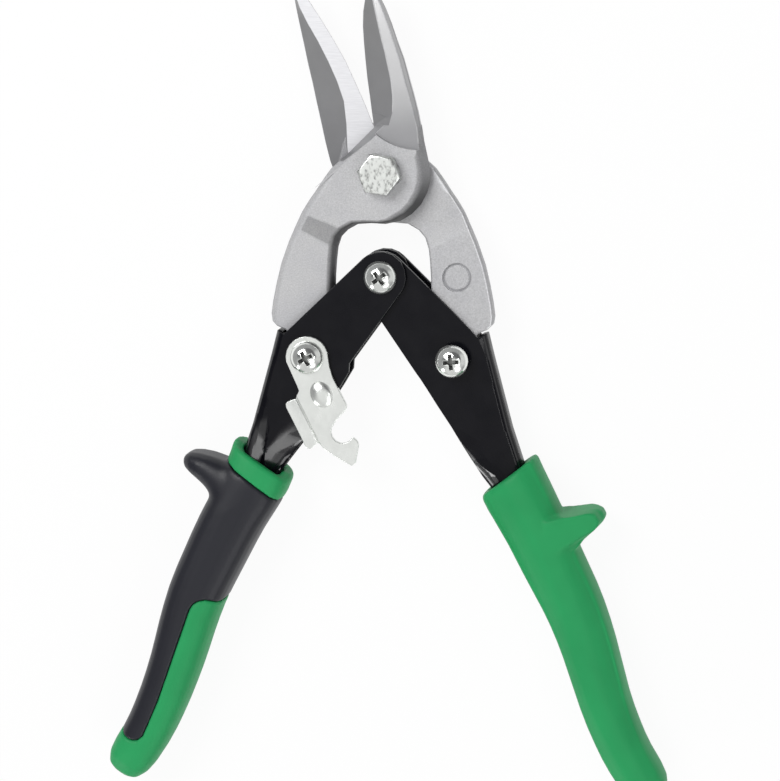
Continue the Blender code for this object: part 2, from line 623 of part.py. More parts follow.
def dome(name, centre, rx, ry, rise, z, turn):
    """Oval swelling over a flat foot at height z."""
    rings = []
    for lat in (0, 25, 50, 72):
        c = math.cos(math.radians(lat))
        s = math.sin(math.radians(lat))
        ring = []
        for i in range(20):
            a = 2 * math.pi * i / 20
            x = rx * c * math.cos(a)
            y = ry * c * math.sin(a)
            ring.append((centre[0] + x * math.cos(turn) - y * math.sin(turn),
                         centre[1] + x * math.sin(turn) + y * math.cos(turn), z + rise * s))
        rings.append(ring)
    return loft(name, rings, centre)


latch = prism("latch", latch_outline(), LATCH_Z, LATCH_Z + LATCH_T, LEFT_TANG, ZINC)
DIMPLE = (-17.5, -66.6)
add(latch, dome("latch_dimple", DIMPLE, 3.5, 4.4, 1.7, LATCH_Z + 0.9, math.radians(28)))
cut(latch, dome("latch_dimple_back", DIMPLE, 2.7, 3.5, 1.5, LATCH_Z - 0.6, math.radians(28)))
# Thumb tab, folded up along the plate's outer edge
FOLD_A = (-24.2, -67.3)
FOLD_B = (-17.6, -80.3)
TAB_RISE = math.radians(58)
TAB_W = 5.5
TAB_T = 1.4
fold = math.hypot(FOLD_B[0] - FOLD_A[0], FOLD_B[1] - FOLD_A[1])
ex = (FOLD_B[0] - FOLD_A[0]) / fold
ey = (FOLD_B[1] - FOLD_A[1]) / fold


def tab_point(along, up, thick):
    """Point of the tab from its place along the fold, up the slope and through the sheet."""
    out = up * math.cos(TAB_RISE) - thick * math.sin(TAB_RISE) - 0.5
    z = LATCH_Z + 0.2 + up * math.sin(TAB_RISE) + thick * math.cos(TAB_RISE)
    return (FOLD_A[0] + ex * along + ey * out, FOLD_A[1] + ey * along - ex * out, z)


tab_plan = [(0.3, 0.0), (fold + 0.2, 0.0), (fold + 1.2, TAB_W - 1.6), (fold + 0.8, TAB_W - 0.4), (fold - 0.3, TAB_W),
            (1.2, TAB_W), (0.2, TAB_W - 0.4), (-0.2, TAB_W - 1.5)]
add(latch, loft("latch_tab", [[tab_point(s, u, t) for s, u in tab_plan] for t in (0.0, TAB_T)]))
bore(latch, LEFT_TANG, SHOULDER_R + GAP, "latch_hole")

# Grips.  A section is full, with a soft crest down the middle of the front and the back.
SECTION = [(1.0, 0.0), (0.99, 0.27), (0.95, 0.51), (0.86, 0.71), (0.73, 0.845), (0.54, 0.93), (0.28, 0.983),
           (0.0, 1.0)]


def section_loop():
    quarter = SECTION
    loop = list(quarter)
    loop += [(-u, w) for u, w in reversed(quarter[:-1])]
    loop += [(-u, -w) for u, w in quarter[1:]]
    loop += [(u, -w) for u, w in reversed(quarter[1:-1])]
    return loop


def along_spine(spine, distance):
    """Plan point and outward normal at a distance down the spine, on a smooth curve through its points."""
    run = 0.0
    for i in range(len(spine) - 1):
        a = Vector(spine[i])
        b = Vector(spine[i + 1])
        d = (b - a).length
        if distance <= run + d or i == len(spine) - 2:
            t = (distance - run) / d
            before = Vector(spine[max(i - 1, 0)])
            after = Vector(spine[min(i + 2, len(spine) - 1)])
            c1 = (b - before) / 2
            c2 = (2 * before - 5 * a + 4 * b - after) / 2
            c3 = (3 * a - before - 3 * b + after) / 2
            spot = a + c1 * t + c2 * t * t + c3 * t * t * t
            slope = c1 + 2 * c2 * t + 3 * c3 * t * t
            return (spot.x, spot.y), (-slope.y / slope.length, slope.x / slope.length)
        run += d


RIM_SLANT = math.tan(math.radians(14.5))
GRIP_ROWS = [  # distance below the rim, half width, half depth, share of the rim's slant
    (0.0, 9.5, 9.4, 1.0), (1.0, 10.1, 10.0, 1.0), (4.5, 10.1, 10.3, 1.0), (10.0, 9.9, 10.7, 0.6),
    (18.5, 9.5, 11.0, 0.2), (30.0, 9.3, 11.0, 0.0), (42.0, 8.9, 11.0, 0.0), (53.0, 8.5, 11.0, 0.0),
    (64.0, 8.1, 11.0, 0.0), (75.0, 7.7, 10.8, 0.0), (86.0, 7.4, 10.4, 0.0), (95.0, 7.2, 9.9, 0.0),
    (101.5, 7.1, 9.4, 0.0), (105.0, 6.6, 8.5, 0.0), (107.6, 5.2, 6.8, 0.0), (109.1, 3.1, 4.3, 0.0),
]
LEFT_RIM = 2.6
RIGHT_RIM = 5.4
LONGEST_ROW = 7.0


def finer_rows(rows):
    """Rows with one more halfway wherever two lie far apart."""
    out = [rows[0]]
    for a, b in zip(rows, rows[1:]):
        if b[0] - a[0] > LONGEST_ROW:
            out.append(tuple((p + q) / 2 for p, q in zip(a, b)))
        out.append(b)
    return out


def grip_rings(side, above=0.0, shrink=0.0):
    """Sections of a grip from its slanted rim down to its round end."""
    spine = RIGHT_SPINE if side > 0 else LEFT_SPINE
    rim = RIGHT_RIM if side > 0 else LEFT_RIM
    rings = []
    loop = section_loop()
    for i, (dist, half, deep, slant) in enumerate(finer_rows(GRIP_ROWS)):
        place = rim + dist
        if i == 0:
            place -= above
        centre, n = along_spine(spine, place)
        ring = []
        for u, w in loop:
            s = u * (half - shrink)
            rise = slant * RIM_SLANT * s
            x = centre[0] + n[0] * s - n[1] * rise
            y = centre[1] + n[1] * s + n[0] * rise
            ring.append((side * x, y, w * (deep - shrink)))
        rings.append(ring)
    return rings


def socket_rings(side, zc):
    """Room for the channel inside a grip."""
    rings = []
    shape = [(1, 0.55), (0.8, 1), (-0.8, 1), (-1, 0.55), (-1, -0.55), (-0.8, -1), (0.8, -1), (1, -0.55)]
    stations = stations_of(side)[4:]
    for i, (low, web, roll) in enumerate(stations):
        cx = (low[0] + web[0]) / 2
        cy = (low[1] + web[1]) / 2
        span = math.hypot(web[0] - low[0], web[1] - low[1])
        nx = (web[0] - low[0]) / span
        ny = (web[1] - low[1]) / span
        half = span / 2 + (0.8 if i < 2 else WALL_GAP)
        if i == len(stations) - 1:
            cx += 1.2 * ny
            cy -= 1.2 * nx
        ring = []
        for u, w in shape:
            ring.append((side * (cx + nx * u * half), cy + ny * u * half, zc + w * (CHANNEL_HALF + WALL_GAP)))
        rings.append(ring)
    return rings


# Finger guards: sections from the root inside the grip to the tip, as upper point, lower point, half depth
RIGHT_GUARD = [
    ((47.5, -103.5), (53.6, -115.0), 10.6), ((51.5, -101.5), (59.0, -112.3), 10.3),
    ((54.3, -101.3), (60.8, -110.6), 9.6), ((56.6, -101.6), (61.9, -108.9), 8.8),
    ((59.9, -100.9), (63.8, -107.2), 7.8), ((62.9, -100.1), (66.1, -105.0), 6.6),
    ((65.4, -99.7), (67.6, -103.4), 5.0), ((67.0, -100.1), (68.2, -102.2), 3.2),
]
LEFT_GUARD = [
    ((43.5, -89.5), (47.5, -102.5), 9.2), ((47.4, -88.7), (51.2, -101.4), 9.1),
    ((49.8, -87.8), (52.3, -98.9), 8.8), ((52.8, -86.9), (54.1, -96.4), 8.4),
    ((56.0, -86.3), (56.7, -94.0), 7.7), ((58.7, -86.2), (58.9, -92.3), 6.5),
    ((60.3, -87.0), (60.4, -90.9), 4.9), ((61.1, -88.0), (61.1, -89.8), 2.8),
]
FLAT_GUARD = [(0.0, 0.72), (0.06, 0.93), (0.14, 1.0), (0.84, 1.0), (0.94, 0.92), (1.0, 0.66)]
ROUND_GUARD = [(0.0, 0.55), (0.12, 0.86), (0.34, 1.0), (0.66, 1.0), (0.88, 0.86), (1.0, 0.55)]


def guard(name, side, stations, section):
    """Finger guard, thick at its root and rounded off toward its tip."""
    rings = []
    for high, low, deep in stations:
        ring = []
        for sign in (1.0, -1.0):
            for t, w in (section if sign > 0 else reversed(section)):
                ring.append((side * lerp(high[0], low[0], t), lerp(high[1], low[1], t), sign * w * deep))
        rings.append(ring)
    return loft(name, rings)


right_grip = loft("right_grip", grip_rings(1.0), TOGGLE, GREEN)
add(right_grip, guard("right_guard", 1.0, RIGHT_GUARD, FLAT_GUARD))
cut(right_grip, loft("right_socket", socket_rings(1.0, RIGHT_Z)))

# The left grip is a green core with a grey overmould let into it round the hand's outer side
OVERMOULD = [(-64.0, -78.0), (-47.4, -78.0), (-47.3, -87.5), (-46.4, -88.5), (-44.2, -90.4), (-40.7, -92.9),
             (-37.4, -95.4), (-35.1, -97.2), (-33.0, -99.0), (-31.0, -100.4), (-20.0, -104.0), (-36.0, -124.0),
             (-46.2, -128.8), (-47.9, -130.7), (-49.4, -131.4), (-51.1, -130.9), (-53.0, -130.4), (-55.2, -130.8),
             (-56.9, -131.8), (-58.0, -133.5), (-62.0, -145.0), (-65.1, -154.0), (-68.1, -162.5), (-71.0, -169.3),
             (-73.1, -174.0), (-75.0, -175.5), (-77.1, -175.4), (-79.0, -174.4), (-80.1, -172.7), (-80.6, -170.8),
             (-95.0, -163.0), (-88.0, -120.0), (-78.0, -78.0)]
SKIN = 1.7


def grown(outline, amount):
    """Outline moved outward by an amount."""
    out = []
    area = 0.0
    n = len(outline)
    for i in range(n):
        a = outline[i]
        b = outline[(i + 1) % n]
        area += a[0] * b[1] - b[0] * a[1]
    turn = 1.0 if area > 0 else -1.0
    for i in range(n):
        a = outline[i - 1]
        p = outline[i]
        b = outline[(i + 1) % n]
        d1 = math.hypot(p[0] - a[0], p[1] - a[1])
        d2 = math.hypot(b[0] - p[0], b[1] - p[1])
        n1 = (turn * (p[1] - a[1]) / d1, -turn * (p[0] - a[0]) / d1)
        n2 = (turn * (b[1] - p[1]) / d2, -turn * (b[0] - p[0]) / d2)
        k = 1.0 + n1[0] * n2[0] + n1[1] * n2[1]
        out.append((p[0] + amount * (n1[0] + n2[0]) / k, p[1] + amount * (n1[1] + n2[1]) / k))
    return out


left_grip_core = loft("left_grip_core", grip_rings(-1.0), TOGGLE, GREEN)
pocket = prism("overmould_pocket", grown(OVERMOULD, GAP), -16.0, 16.0)
cut(pocket, loft("core_waist", grip_rings(-1.0, 3.0, SKIN + GAP)))
cut(left_grip_core, pocket)
cut(left_grip_core, loft("left_socket", socket_rings(-1.0, LEFT_Z)))

left_overmould = loft("left_grip_overmould", grip_rings(-1.0), TOGGLE, GREY)
add(left_overmould, guard("left_guard", -1.0, LEFT_GUARD, ROUND_GUARD))
boolean(left_overmould, prism("overmould_region", OVERMOULD, -17.0, 17.0), 'INTERSECT')
cut(left_overmould, loft("overmould_bore", grip_rings(-1.0, 4.0, SKIN)))
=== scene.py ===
"""Aviation snips on a white table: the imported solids, dressed with finer surfaces and finishes."""

import json
import math

import bmesh
import bpy
import numpy as np
from mathutils import Matrix, Vector


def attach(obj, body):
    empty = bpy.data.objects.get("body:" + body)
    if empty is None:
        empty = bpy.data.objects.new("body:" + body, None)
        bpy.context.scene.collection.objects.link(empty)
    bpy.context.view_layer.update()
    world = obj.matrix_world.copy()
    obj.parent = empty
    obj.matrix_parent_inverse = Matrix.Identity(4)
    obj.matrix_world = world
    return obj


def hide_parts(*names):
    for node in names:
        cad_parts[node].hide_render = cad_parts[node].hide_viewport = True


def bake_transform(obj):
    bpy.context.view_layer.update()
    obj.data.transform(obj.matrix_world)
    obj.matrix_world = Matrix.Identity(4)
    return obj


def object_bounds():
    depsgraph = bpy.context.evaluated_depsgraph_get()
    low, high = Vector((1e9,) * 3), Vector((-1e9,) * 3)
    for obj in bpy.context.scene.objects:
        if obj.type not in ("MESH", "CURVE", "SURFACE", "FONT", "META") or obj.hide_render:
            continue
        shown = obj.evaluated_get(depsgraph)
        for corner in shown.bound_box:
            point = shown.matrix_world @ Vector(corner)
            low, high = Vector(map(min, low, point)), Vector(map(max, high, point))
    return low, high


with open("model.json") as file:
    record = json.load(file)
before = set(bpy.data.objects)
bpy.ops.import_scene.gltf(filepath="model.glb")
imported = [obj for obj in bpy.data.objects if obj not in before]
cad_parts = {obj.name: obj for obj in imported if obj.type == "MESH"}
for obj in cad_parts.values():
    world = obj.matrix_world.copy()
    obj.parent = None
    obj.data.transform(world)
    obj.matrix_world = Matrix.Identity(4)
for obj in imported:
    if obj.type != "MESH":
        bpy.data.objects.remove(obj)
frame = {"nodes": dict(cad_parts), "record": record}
cad_low, cad_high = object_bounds()

MM = 0.001
MID = 11.0
NODES = frame["nodes"]
BODY_OF = {}
for body_name, members in frame["record"]["behaviour"]["bodies"].items():
    for member in members:
        BODY_OF[member] = body_name


# Shader helpers
def new_material(name):
    mat = bpy.data.materials.new(name)
    mat.use_nodes = True
    tree = mat.node_tree
    bsdf = tree.nodes["Principled BSDF"]
    return mat, tree, bsdf


def node(tree, kind, **settings):
    made = tree.nodes.new(kind)
    for key, value in settings.items():
        setattr(made, key, value)
    return made


def place(tree, scale=(1.0, 1.0, 1.0), turn=(0.0, 0.0, 0.0)):
    """Object coordinates in millimetres, stretched by scale."""
    coords = node(tree, "ShaderNodeTexCoord")
    mapping = node(tree, "ShaderNodeMapping")
    mapping.inputs["Scale"].default_value = [1000.0 * s for s in scale]
    mapping.inputs["Rotation"].default_value = turn
    tree.links.new(coords.outputs["Object"], mapping.inputs["Vector"])
    return mapping.outputs["Vector"]


def noise(tree, vector, scale, detail=3.0, rough=0.55):
    made = node(tree, "ShaderNodeTexNoise")
    made.inputs["Scale"].default_value = scale
    made.inputs["Detail"].default_value = detail
    made.inputs["Roughness"].default_value = rough
    tree.links.new(vector, made.inputs["Vector"])
    return made.outputs["Fac"]


def ramp(tree, factor, stops):
    made = node(tree, "ShaderNodeValToRGB")
    bar = made.color_ramp
    while len(bar.elements) < len(stops):
        bar.elements.new(0.5)
    for element, (at, rgb) in zip(bar.elements, stops):
        element.position = at
        element.color = (rgb[0], rgb[1], rgb[2], 1.0)
    tree.links.new(factor, made.inputs["Fac"])
    return made.outputs["Color"]


def span(tree, factor, low, high):
    """Maps 0..1 to low..high."""
    made = node(tree, "ShaderNodeMapRange")
    made.inputs["To Min"].default_value = low
    made.inputs["To Max"].default_value = high
    tree.links.new(factor, made.inputs["Value"])
    return made.outputs["Result"]


def bump(tree, bsdf, height, strength, distance, under=None):
    made = node(tree, "ShaderNodeBump")
    made.inputs["Strength"].default_value = strength
    made.inputs["Distance"].default_value = distance
    tree.links.new(height, made.inputs["Height"])
    if under is not None:
        tree.links.new(under, made.inputs["Normal"])
    tree.links.new(made.outputs["Normal"], bsdf.inputs["Normal"])
    return made.outputs["Normal"]


def multiply(tree, colour, layer):
    made = node(tree, "ShaderNodeMix", data_type='RGBA', blend_type='MULTIPLY')
    made.inputs["Factor"].default_value = 1.0
    tree.links.new(colour, made.inputs["A"])
    tree.links.new(layer, made.inputs["B"])
    return made.outputs["Result"]


def shade(rgb, k):
    return tuple(min(1.0, c * k) for c in rgb)


def forged_steel(name, base, spread, painted_light_by_facing, way=(0.50, -0.80, 0.0)):
    """Blasted forging: grainy, with soft clouds of tone; the colour of the flanks is scaled by how they face
    one way, which paints shade on them, or a highlight.
    """
    mat, tree, bsdf = new_material(name)
    vec = place(tree)
    grain = noise(tree, vec, 2.4, 4.0, 0.65)
    cloud = noise(tree, vec, 0.10, 3.0, 0.5)
    speck = ramp(tree, grain, [(0.30, shade(base, 1.0 - spread)), (0.52, base),
                               (0.72, shade(base, 1.0 + spread))])
    tone = ramp(tree, cloud, [(0.30, (0.93, 0.93, 0.94)), (0.70, (1.0, 1.0, 0.99))])
    facing = node(tree, "ShaderNodeVectorMath", operation='DOT_PRODUCT')
    facing.inputs[1].default_value = way
    tree.links.new(node(tree, "ShaderNodeTexCoord").outputs["Normal"], facing.inputs[0])
    # Painted light: a ramp on how each face turns towards one way scales its colour, darker for painted
    # shade, lighter for a painted highlight.
    scale = ramp(tree, facing.outputs["Value"], [(at, (k, k, 1.02 * k)) for at, k in painted_light_by_facing])
    colour = multiply(tree, multiply(tree, speck, tone), scale)
    tree.links.new(colour, bsdf.inputs["Base Color"])
    bsdf.inputs["Metallic"].default_value = 0.25
    tree.links.new(span(tree, grain, 0.48, 0.64), bsdf.inputs["Roughness"])
    fine = bump(tree, bsdf, grain, 0.25, 0.0002)
    bump(tree, bsdf, noise(tree, vec, 0.5, 2.0), 0.12, 0.0004, fine)
    return mat


def ground_steel(name, low, high, start, end):
    """Ground steel with lines along the jaw, painted lighter from one place along the tool to another, a
    painted highlight.
    """
    mat, tree, bsdf = new_material(name)
    lines = noise(tree, place(tree, (1.0, 0.06, 1.0)), 3.0, 4.0, 0.6)
    cloud = noise(tree, place(tree), 0.12)
    parts = node(tree, "ShaderNodeSeparateXYZ")
    tree.links.new(place(tree), parts.inputs[0])
    along = node(tree, "ShaderNodeMapRange", interpolation_type='SMOOTHSTEP')
    along.inputs["From Min"].default_value = start
    along.inputs["From Max"].default_value = end
    tree.links.new(parts.outputs["Y"], along.inputs["Value"])
    tone = ramp(tree, along.outputs["Result"],
                [(0.0, (low, low, 1.03 * low)), (1.0, (high, high, 1.01 * high))])
    patch = ramp(tree, cloud, [(0.3, (0.93, 0.93, 0.93)), (0.7, (1.0, 1.0, 1.0))])
    tree.links.new(multiply(tree, tone, patch), bsdf.inputs["Base Color"])
    bsdf.inputs["Metallic"].default_value = 0.4
    tree.links.new(span(tree, lines, 0.28, 0.44), bsdf.inputs["Roughness"])
    bump(tree, bsdf, lines, 0.2, 0.0001)
    return mat


def shear_steel():
    """Bright shear face, with fine grinding lines across the edge."""
    mat, tree, bsdf = new_material("shear_steel")
    lines = noise(tree, place(tree, (0.06, 1.0, 1.0), (0.0, 0.0, math.radians(-30))), 4.0, 3.0, 0.6)
    tone = ramp(tree, lines, [(0.25, (0.66, 0.66, 0.68)), (0.75, (0.78, 0.78, 0.80))])
    tree.links.new(tone, bsdf.inputs["Base Color"])
    bsdf.inputs["Metallic"].default_value = 0.2
    tree.links.new(span(tree, lines, 0.45, 0.60), bsdf.inputs["Roughness"])
    bump(tree, bsdf, lines, 0.25, 0.00008)
    return mat


def zinc(name, grain_mm, dark, low, high, depth, whole=1.0, fade=0.55):
    """Bright zinc plating with a faintly green bloom; dark spots reach up to fade."""
    mat, tree, bsdf = new_material(name)
    bloom = noise(tree, place(tree, (1.0, 0.6, 1.0), (0.0, 0.0, 0.7)), 1.0 / grain_mm, 3.0, 0.55)
    plate = (0.87 * whole, 0.89 * whole, 0.86 * whole)
    tone = ramp(tree, bloom, [(0.34, shade(plate, dark)), (fade, shade(plate, 0.97)),
                              (0.75, shade(plate, 1.03))])
    tree.links.new(tone, bsdf.inputs["Base Color"])
    bsdf.inputs["Metallic"].default_value = 0.9
    tree.links.new(span(tree, bloom, low, high), bsdf.inputs["Roughness"])
    bump(tree, bsdf, bloom, 0.12, depth)
    return mat


def black_enamel(name, shine, low, high, rolled=None):
    """Gloss enamel with a little orange peel, and more shine where the sheet is rolled over."""
    mat, tree, bsdf = new_material(name)
    vec = place(tree)
    peel = noise(tree, vec, 0.35, 2.0)
    tone = ramp(tree, noise(tree, vec, 0.15),
                [(0.3, (0.003, 0.003, 0.005)), (0.7, (0.006, 0.006, 0.008))])
    tree.links.new(tone, bsdf.inputs["Base Color"])
    tree.links.new(span(tree, peel, low, high), bsdf.inputs["Roughness"])
    bsdf.inputs["Specular IOR Level"].default_value = shine
    if rolled is not None:
        bent = node(tree, "ShaderNodeAttribute")
        bent.attribute_name = "bent"
        tree.links.new(span(tree, bent.outputs["Fac"], shine, rolled), bsdf.inputs["Specular IOR Level"])
    bump(tree, bsdf, peel, 0.04, 0.0002)
    return mat


def moulded(name, rgb, rough, grain_mm, depth, shine):
    """Moulded plastic with a faint spark-eroded grain."""
    mat, tree, bsdf = new_material(name)
    vec = place(tree)
    cloud = noise(tree, vec, 0.06, 2.0)
    tone = ramp(tree, cloud, [(0.3, shade(rgb, 0.94)), (0.7, shade(rgb, 1.06))])
    tree.links.new(tone, bsdf.inputs["Base Color"])
    grain = noise(tree, vec, 1.0 / grain_mm, 3.0, 0.6)
    tree.links.new(span(tree, grain, rough - 0.05, rough + 0.07), bsdf.inputs["Roughness"])
    bsdf.inputs["Specular IOR Level"].default_value = shine
    bump(tree, bsdf, grain, 0.15, depth)
    return mat


def spring_wire():
    mat, tree, bsdf = new_material("spring_wire")
    lines = noise(tree, place(tree), 2.0, 3.0)
    tone = ramp(tree, lines, [(0.3, (0.26, 0.26, 0.27)), (0.7, (0.38, 0.38, 0.39))])
    tree.links.new(tone, bsdf.inputs["Base Color"])
    bsdf.inputs["Metallic"].default_value = 1.0
    tree.links.new(span(tree, lines, 0.28, 0.42), bsdf.inputs["Roughness"])
    return mat


BLASTED = (0.495, 0.495, 0.495)
# Painted light on the forgings' flanks, by facing: the front blade's darken as they turn down and right,
# painted shade; the rear blade's outer edge gets a painted highlight where it starts to turn right, and
# painted shade on its steep wall.
FRONT_PAINTED_SHADE = [(0.02, 1.0), (0.17, 0.66), (0.48, 0.45), (0.8, 0.14)]
REAR_PAINTED_HIGHLIGHT_AND_SHADE = [(0.03, 1.0), (0.10, 1.1), (0.22, 1.7), (0.42, 1.4), (0.58, 0.95), (0.9, 0.88)]
FORGED = forged_steel("forged_steel", BLASTED, 0.19, FRONT_PAINTED_SHADE)
FORGED_REAR = forged_steel("forged_steel_rear", BLASTED, 0.19, REAR_PAINTED_HIGHLIGHT_AND_SHADE, way=(0.93, 0.37, 0.0))
# Darker copy of the forging: painted shade on the walls inside the front blade's window, in the round mark's
# groove and on the rear blade's rubbing face beside the front blade; its flanks darken further as they face
# down and right.
PAINTED_SHADE_STEEL = forged_steel("forged_steel_painted_shade", (0.33, 0.33, 0.335), 0.2, [(0.02, 1.0), (0.8, 0.3)])
# Lit and shaded copies of one ground steel: the land copy is painted lighter for faces turned up or to the
# right, with a painted highlight that grows towards the tip; the plain copy stays darker, painted shade on
# the front jaw's left-facing bevel.
GROUND = ground_steel("ground_steel", 0.27, 0.29, 0.0, 50.0)
LIT_LAND = ground_steel("ground_steel_lit_land", 0.32, 0.52, 9.0, 30.0)
SHEAR_FACE = shear_steel()
ZINC = zinc("zinc_plate", 3.0, 0.93, 0.22, 0.30, 0.0002)
ZINC_BOLT = zinc("zinc_bolt", 0.9, 0.50, 0.20, 0.42, 0.0004, 0.89, 0.50)
ZINC_SCREW = zinc("zinc_screw", 2.0, 0.92, 0.12, 0.18, 0.0001)
BLACK = black_enamel("black_enamel", 0.16, 0.14, 0.24, 0.75)
BLACK_WEB = black_enamel("black_enamel_web", 0.05, 0.20, 0.30)
GREEN = moulded("green_grip", (0.018, 0.305, 0.097), 0.50, 0.6, 0.0001, 0.22)
GREY = moulded("grey_overmould", (0.0090, 0.0095, 0.0155), 0.42, 0.5, 0.0001, 0.40)
# Dark zinc: painted shade in the screws' cross recesses.
RECESS_PAINTED_SHADE = zinc("zinc_recess_painted_shade", 1.0, 0.6, 0.35, 0.55, 0.0002, 0.30)
WIRE_STEEL = spring_wire()


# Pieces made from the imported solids
def link(name, data):
    ob = bpy.data.objects.new(name, data)
    bpy.context.scene.collection.objects.link(ob)
    return ob


def finish_mesh(name, bm):
    mesh = bpy.data.meshes.new(name)
    bm.to_mesh(mesh)
    bm.free()
    return mesh


def editable(ob):
    bm = bmesh.new()
    bm.from_mesh(ob.data)
    return bm


def write_back(bm, ob):
    bm.to_mesh(ob.data)
    bm.free()


def clean_copy(name, source):
    """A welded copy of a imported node's mesh, with flat areas as single faces."""
    bm = bmesh.new()
    bm.from_mesh(NODES[source].data)
    bmesh.ops.remove_doubles(bm, verts=bm.verts, dist=2e-6)
    bmesh.ops.dissolve_limit(bm, angle_limit=math.radians(0.6), verts=bm.verts, edges=bm.edges)
    return link(name, finish_mesh(name, bm))


def stand_for(ob, source, mats):
    ob.data.materials.clear()
    for mat in mats:
        ob.data.materials.append(mat)
    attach(ob, BODY_OF[source])
    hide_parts(source)
    return ob


def round_edges(ob, width, segments, angle, want=None, material=-1):
    """Rounds edges sharper than an angle; want picks the width per edge, and it gives way to short edges."""
    bm = editable(ob)
    layer = bm.edges.layers.float.new("bevel_weight_edge")
    for edge in bm.edges:
        if len(edge.link_faces) != 2 or edge.calc_face_angle(0.0) < math.radians(angle):
            continue
        room = want(edge, (edge.verts[0].co + edge.verts[1].co) / (2 * MM)) if want else width
        for v in edge.verts:
            along = (edge.other_vert(v).co - v.co).normalized()
            for other in v.link_edges:
                way = other.other_vert(v).co - v.co
                if other is not edge and abs(along.dot(way.normalized())) < 0.9:
                    room = min(room, 0.45 * way.length / MM)
        edge[layer] = room / width
    write_back(bm, ob)
    bevel = ob.modifiers.new("edges", 'BEVEL')
    bevel.width = width * MM
    bevel.segments = segments
    bevel.limit_method = 'WEIGHT'
    bevel.use_clamp_overlap = False
    bevel.material = material
    bevel.miter_outer = 'MITER_ARC'


def level_normals(ob, keep_sharp):
    level = ob.modifiers.new("level", 'WEIGHTED_NORMAL')
    level.keep_sharp = keep_sharp


def smooth(ob, angle):
    mesh = ob.data
    mesh.shade_smooth()
    mesh.set_sharp_from_angle(angle=math.radians(angle))


def metal_piece(name, source, mats, width, segments, angle):
    ob = clean_copy(name, source)
    smooth(ob, 40.0)
    round_edges(ob, width, segments, angle)
    level_normals(ob, True)
    return stand_for(ob, source, mats)


def apply_modifiers(ob):
    graph = bpy.context.evaluated_depsgraph_get()
    graph.update()
    mesh = bpy.data.meshes.new_from_object(ob.evaluated_get(graph))
    ob.modifiers.clear()
    old = ob.data
    ob.data = mesh
    bpy.data.meshes.remove(old)


def get_points(mesh):
    pts = np.empty(len(mesh.vertices) * 3)
    mesh.vertices.foreach_get("co", pts)
    return pts.reshape(-1, 3) / MM


def set_points(mesh, pts):
    mesh.vertices.foreach_set("co", (pts * MM).ravel())
    mesh.update()


def ease_points(mesh, pts, passes, share=None):
    """Laplacian smoothing; share is the weight of each point."""
    edges = np.empty(len(mesh.edges) * 2, dtype=np.int64)
    mesh.edges.foreach_get("vertices", edges)
    a, b = edges.reshape(-1, 2).T
    count = np.bincount(np.concatenate((a, b)), minlength=len(pts))[:, None]
    weight = 0.5 if share is None else 0.5 * share[:, None]
    for _ in range(passes):
        total = np.zeros_like(pts)
        for c in range(3):
            total[:, c] = np.bincount(a, pts[b, c], len(pts)) + np.bincount(b, pts[a, c], len(pts))
        pts = pts + weight * (total / count - pts)
    return pts


def smoothstep(low, high, x):
    t = np.clip((x - low) / (high - low), 0.0, 1.0)
    return t * t * (3.0 - 2.0 * t)


def beside_line(pts, line):
    """Signed plan distance of points from a polyline, positive on its left as it runs."""
    best = np.full(len(pts), 1e9)
    sign = np.ones(len(pts))
    for a, b in zip(line, line[1:]):
        ax, ay = a
        dx, dy = b[0] - ax, b[1] - ay
        t = np.clip(((pts[:, 0] - ax) * dx + (pts[:, 1] - ay) * dy) / (dx * dx + dy * dy), 0.0, 1.0)
        ex = pts[:, 0] - ax - t * dx
        ey = pts[:, 1] - ay - t * dy
        gap = np.hypot(ex, ey)
        near = gap < best
        best = np.where(near, gap, best)
        sign = np.where(near, np.where(dx * ey - dy * ex >= 0.0, 1.0, -1.0), sign)
    return best * sign


def crest(pts, line, band, left_fall, right_fall):
    """Roofs the front and back of a grip down to both sides of a crest line."""
    side = beside_line(pts, line)
    w = pts[:, 2] - MID
    fall = np.where(side > 0.0, left_fall, right_fall)
    away = np.maximum(np.abs(side) - band / 2, 0.0)
    drop = fall * away * away / (away + 1.2) * smoothstep(6.8, 9.0, np.abs(w))
    out = pts.copy()
    out[:, 2] = MID + np.sign(w) * (np.abs(w) - drop)
    return out


def moulding(name, source, mat, voxel, passes, shaped=None, local=(), swell=0.0):
    """Moulded piece: the node's solid on a fine grid, shaped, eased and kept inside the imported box."""
    ob = clean_copy(name, source)
    grid = ob.modifiers.new("grid", 'REMESH')
    grid.mode = 'VOXEL'
    grid.voxel_size = voxel * MM
    grid.use_smooth_shade = True
    apply_modifiers(ob)
    mesh = ob.data
    pts = get_points(mesh)
    if shaped:
        pts = shaped(pts)
    pts = ease_points(mesh, pts, passes)
    for centre, radius, rounds in local:
        gap = np.linalg.norm((pts - np.array(centre)) * np.array((1.0, 1.0, 0.5)), axis=1)
        pts = ease_points(mesh, pts, rounds, 1.0 - smoothstep(0.5 * radius, radius, gap))
    if swell:
        set_points(mesh, pts)
        out = np.empty(len(pts) * 3)
        mesh.vertices.foreach_get("normal", out)
        pts = pts + swell * out.reshape(-1, 3)
        pts[:, 2] = np.clip(pts[:, 2], 0.05, 2 * MID - 0.02)
    pts = np.clip(pts, np.array(cad_low) / MM, np.array(cad_high) / MM)
    set_points(mesh, pts)
    mesh.shade_smooth()
    return stand_for(ob, source, [mat])


def split_faces(bm, faces, at, way):
    """Cuts faces by the plane through a place in millimetres that is square to a direction."""
    parts = dict.fromkeys(faces)
    for f in faces:
        parts.update(dict.fromkeys(f.edges))
        parts.update(dict.fromkeys(f.verts))
    bmesh.ops.bisect_plane(bm, geom=list(parts), dist=1e-7, plane_co=at * MM, plane_no=way)


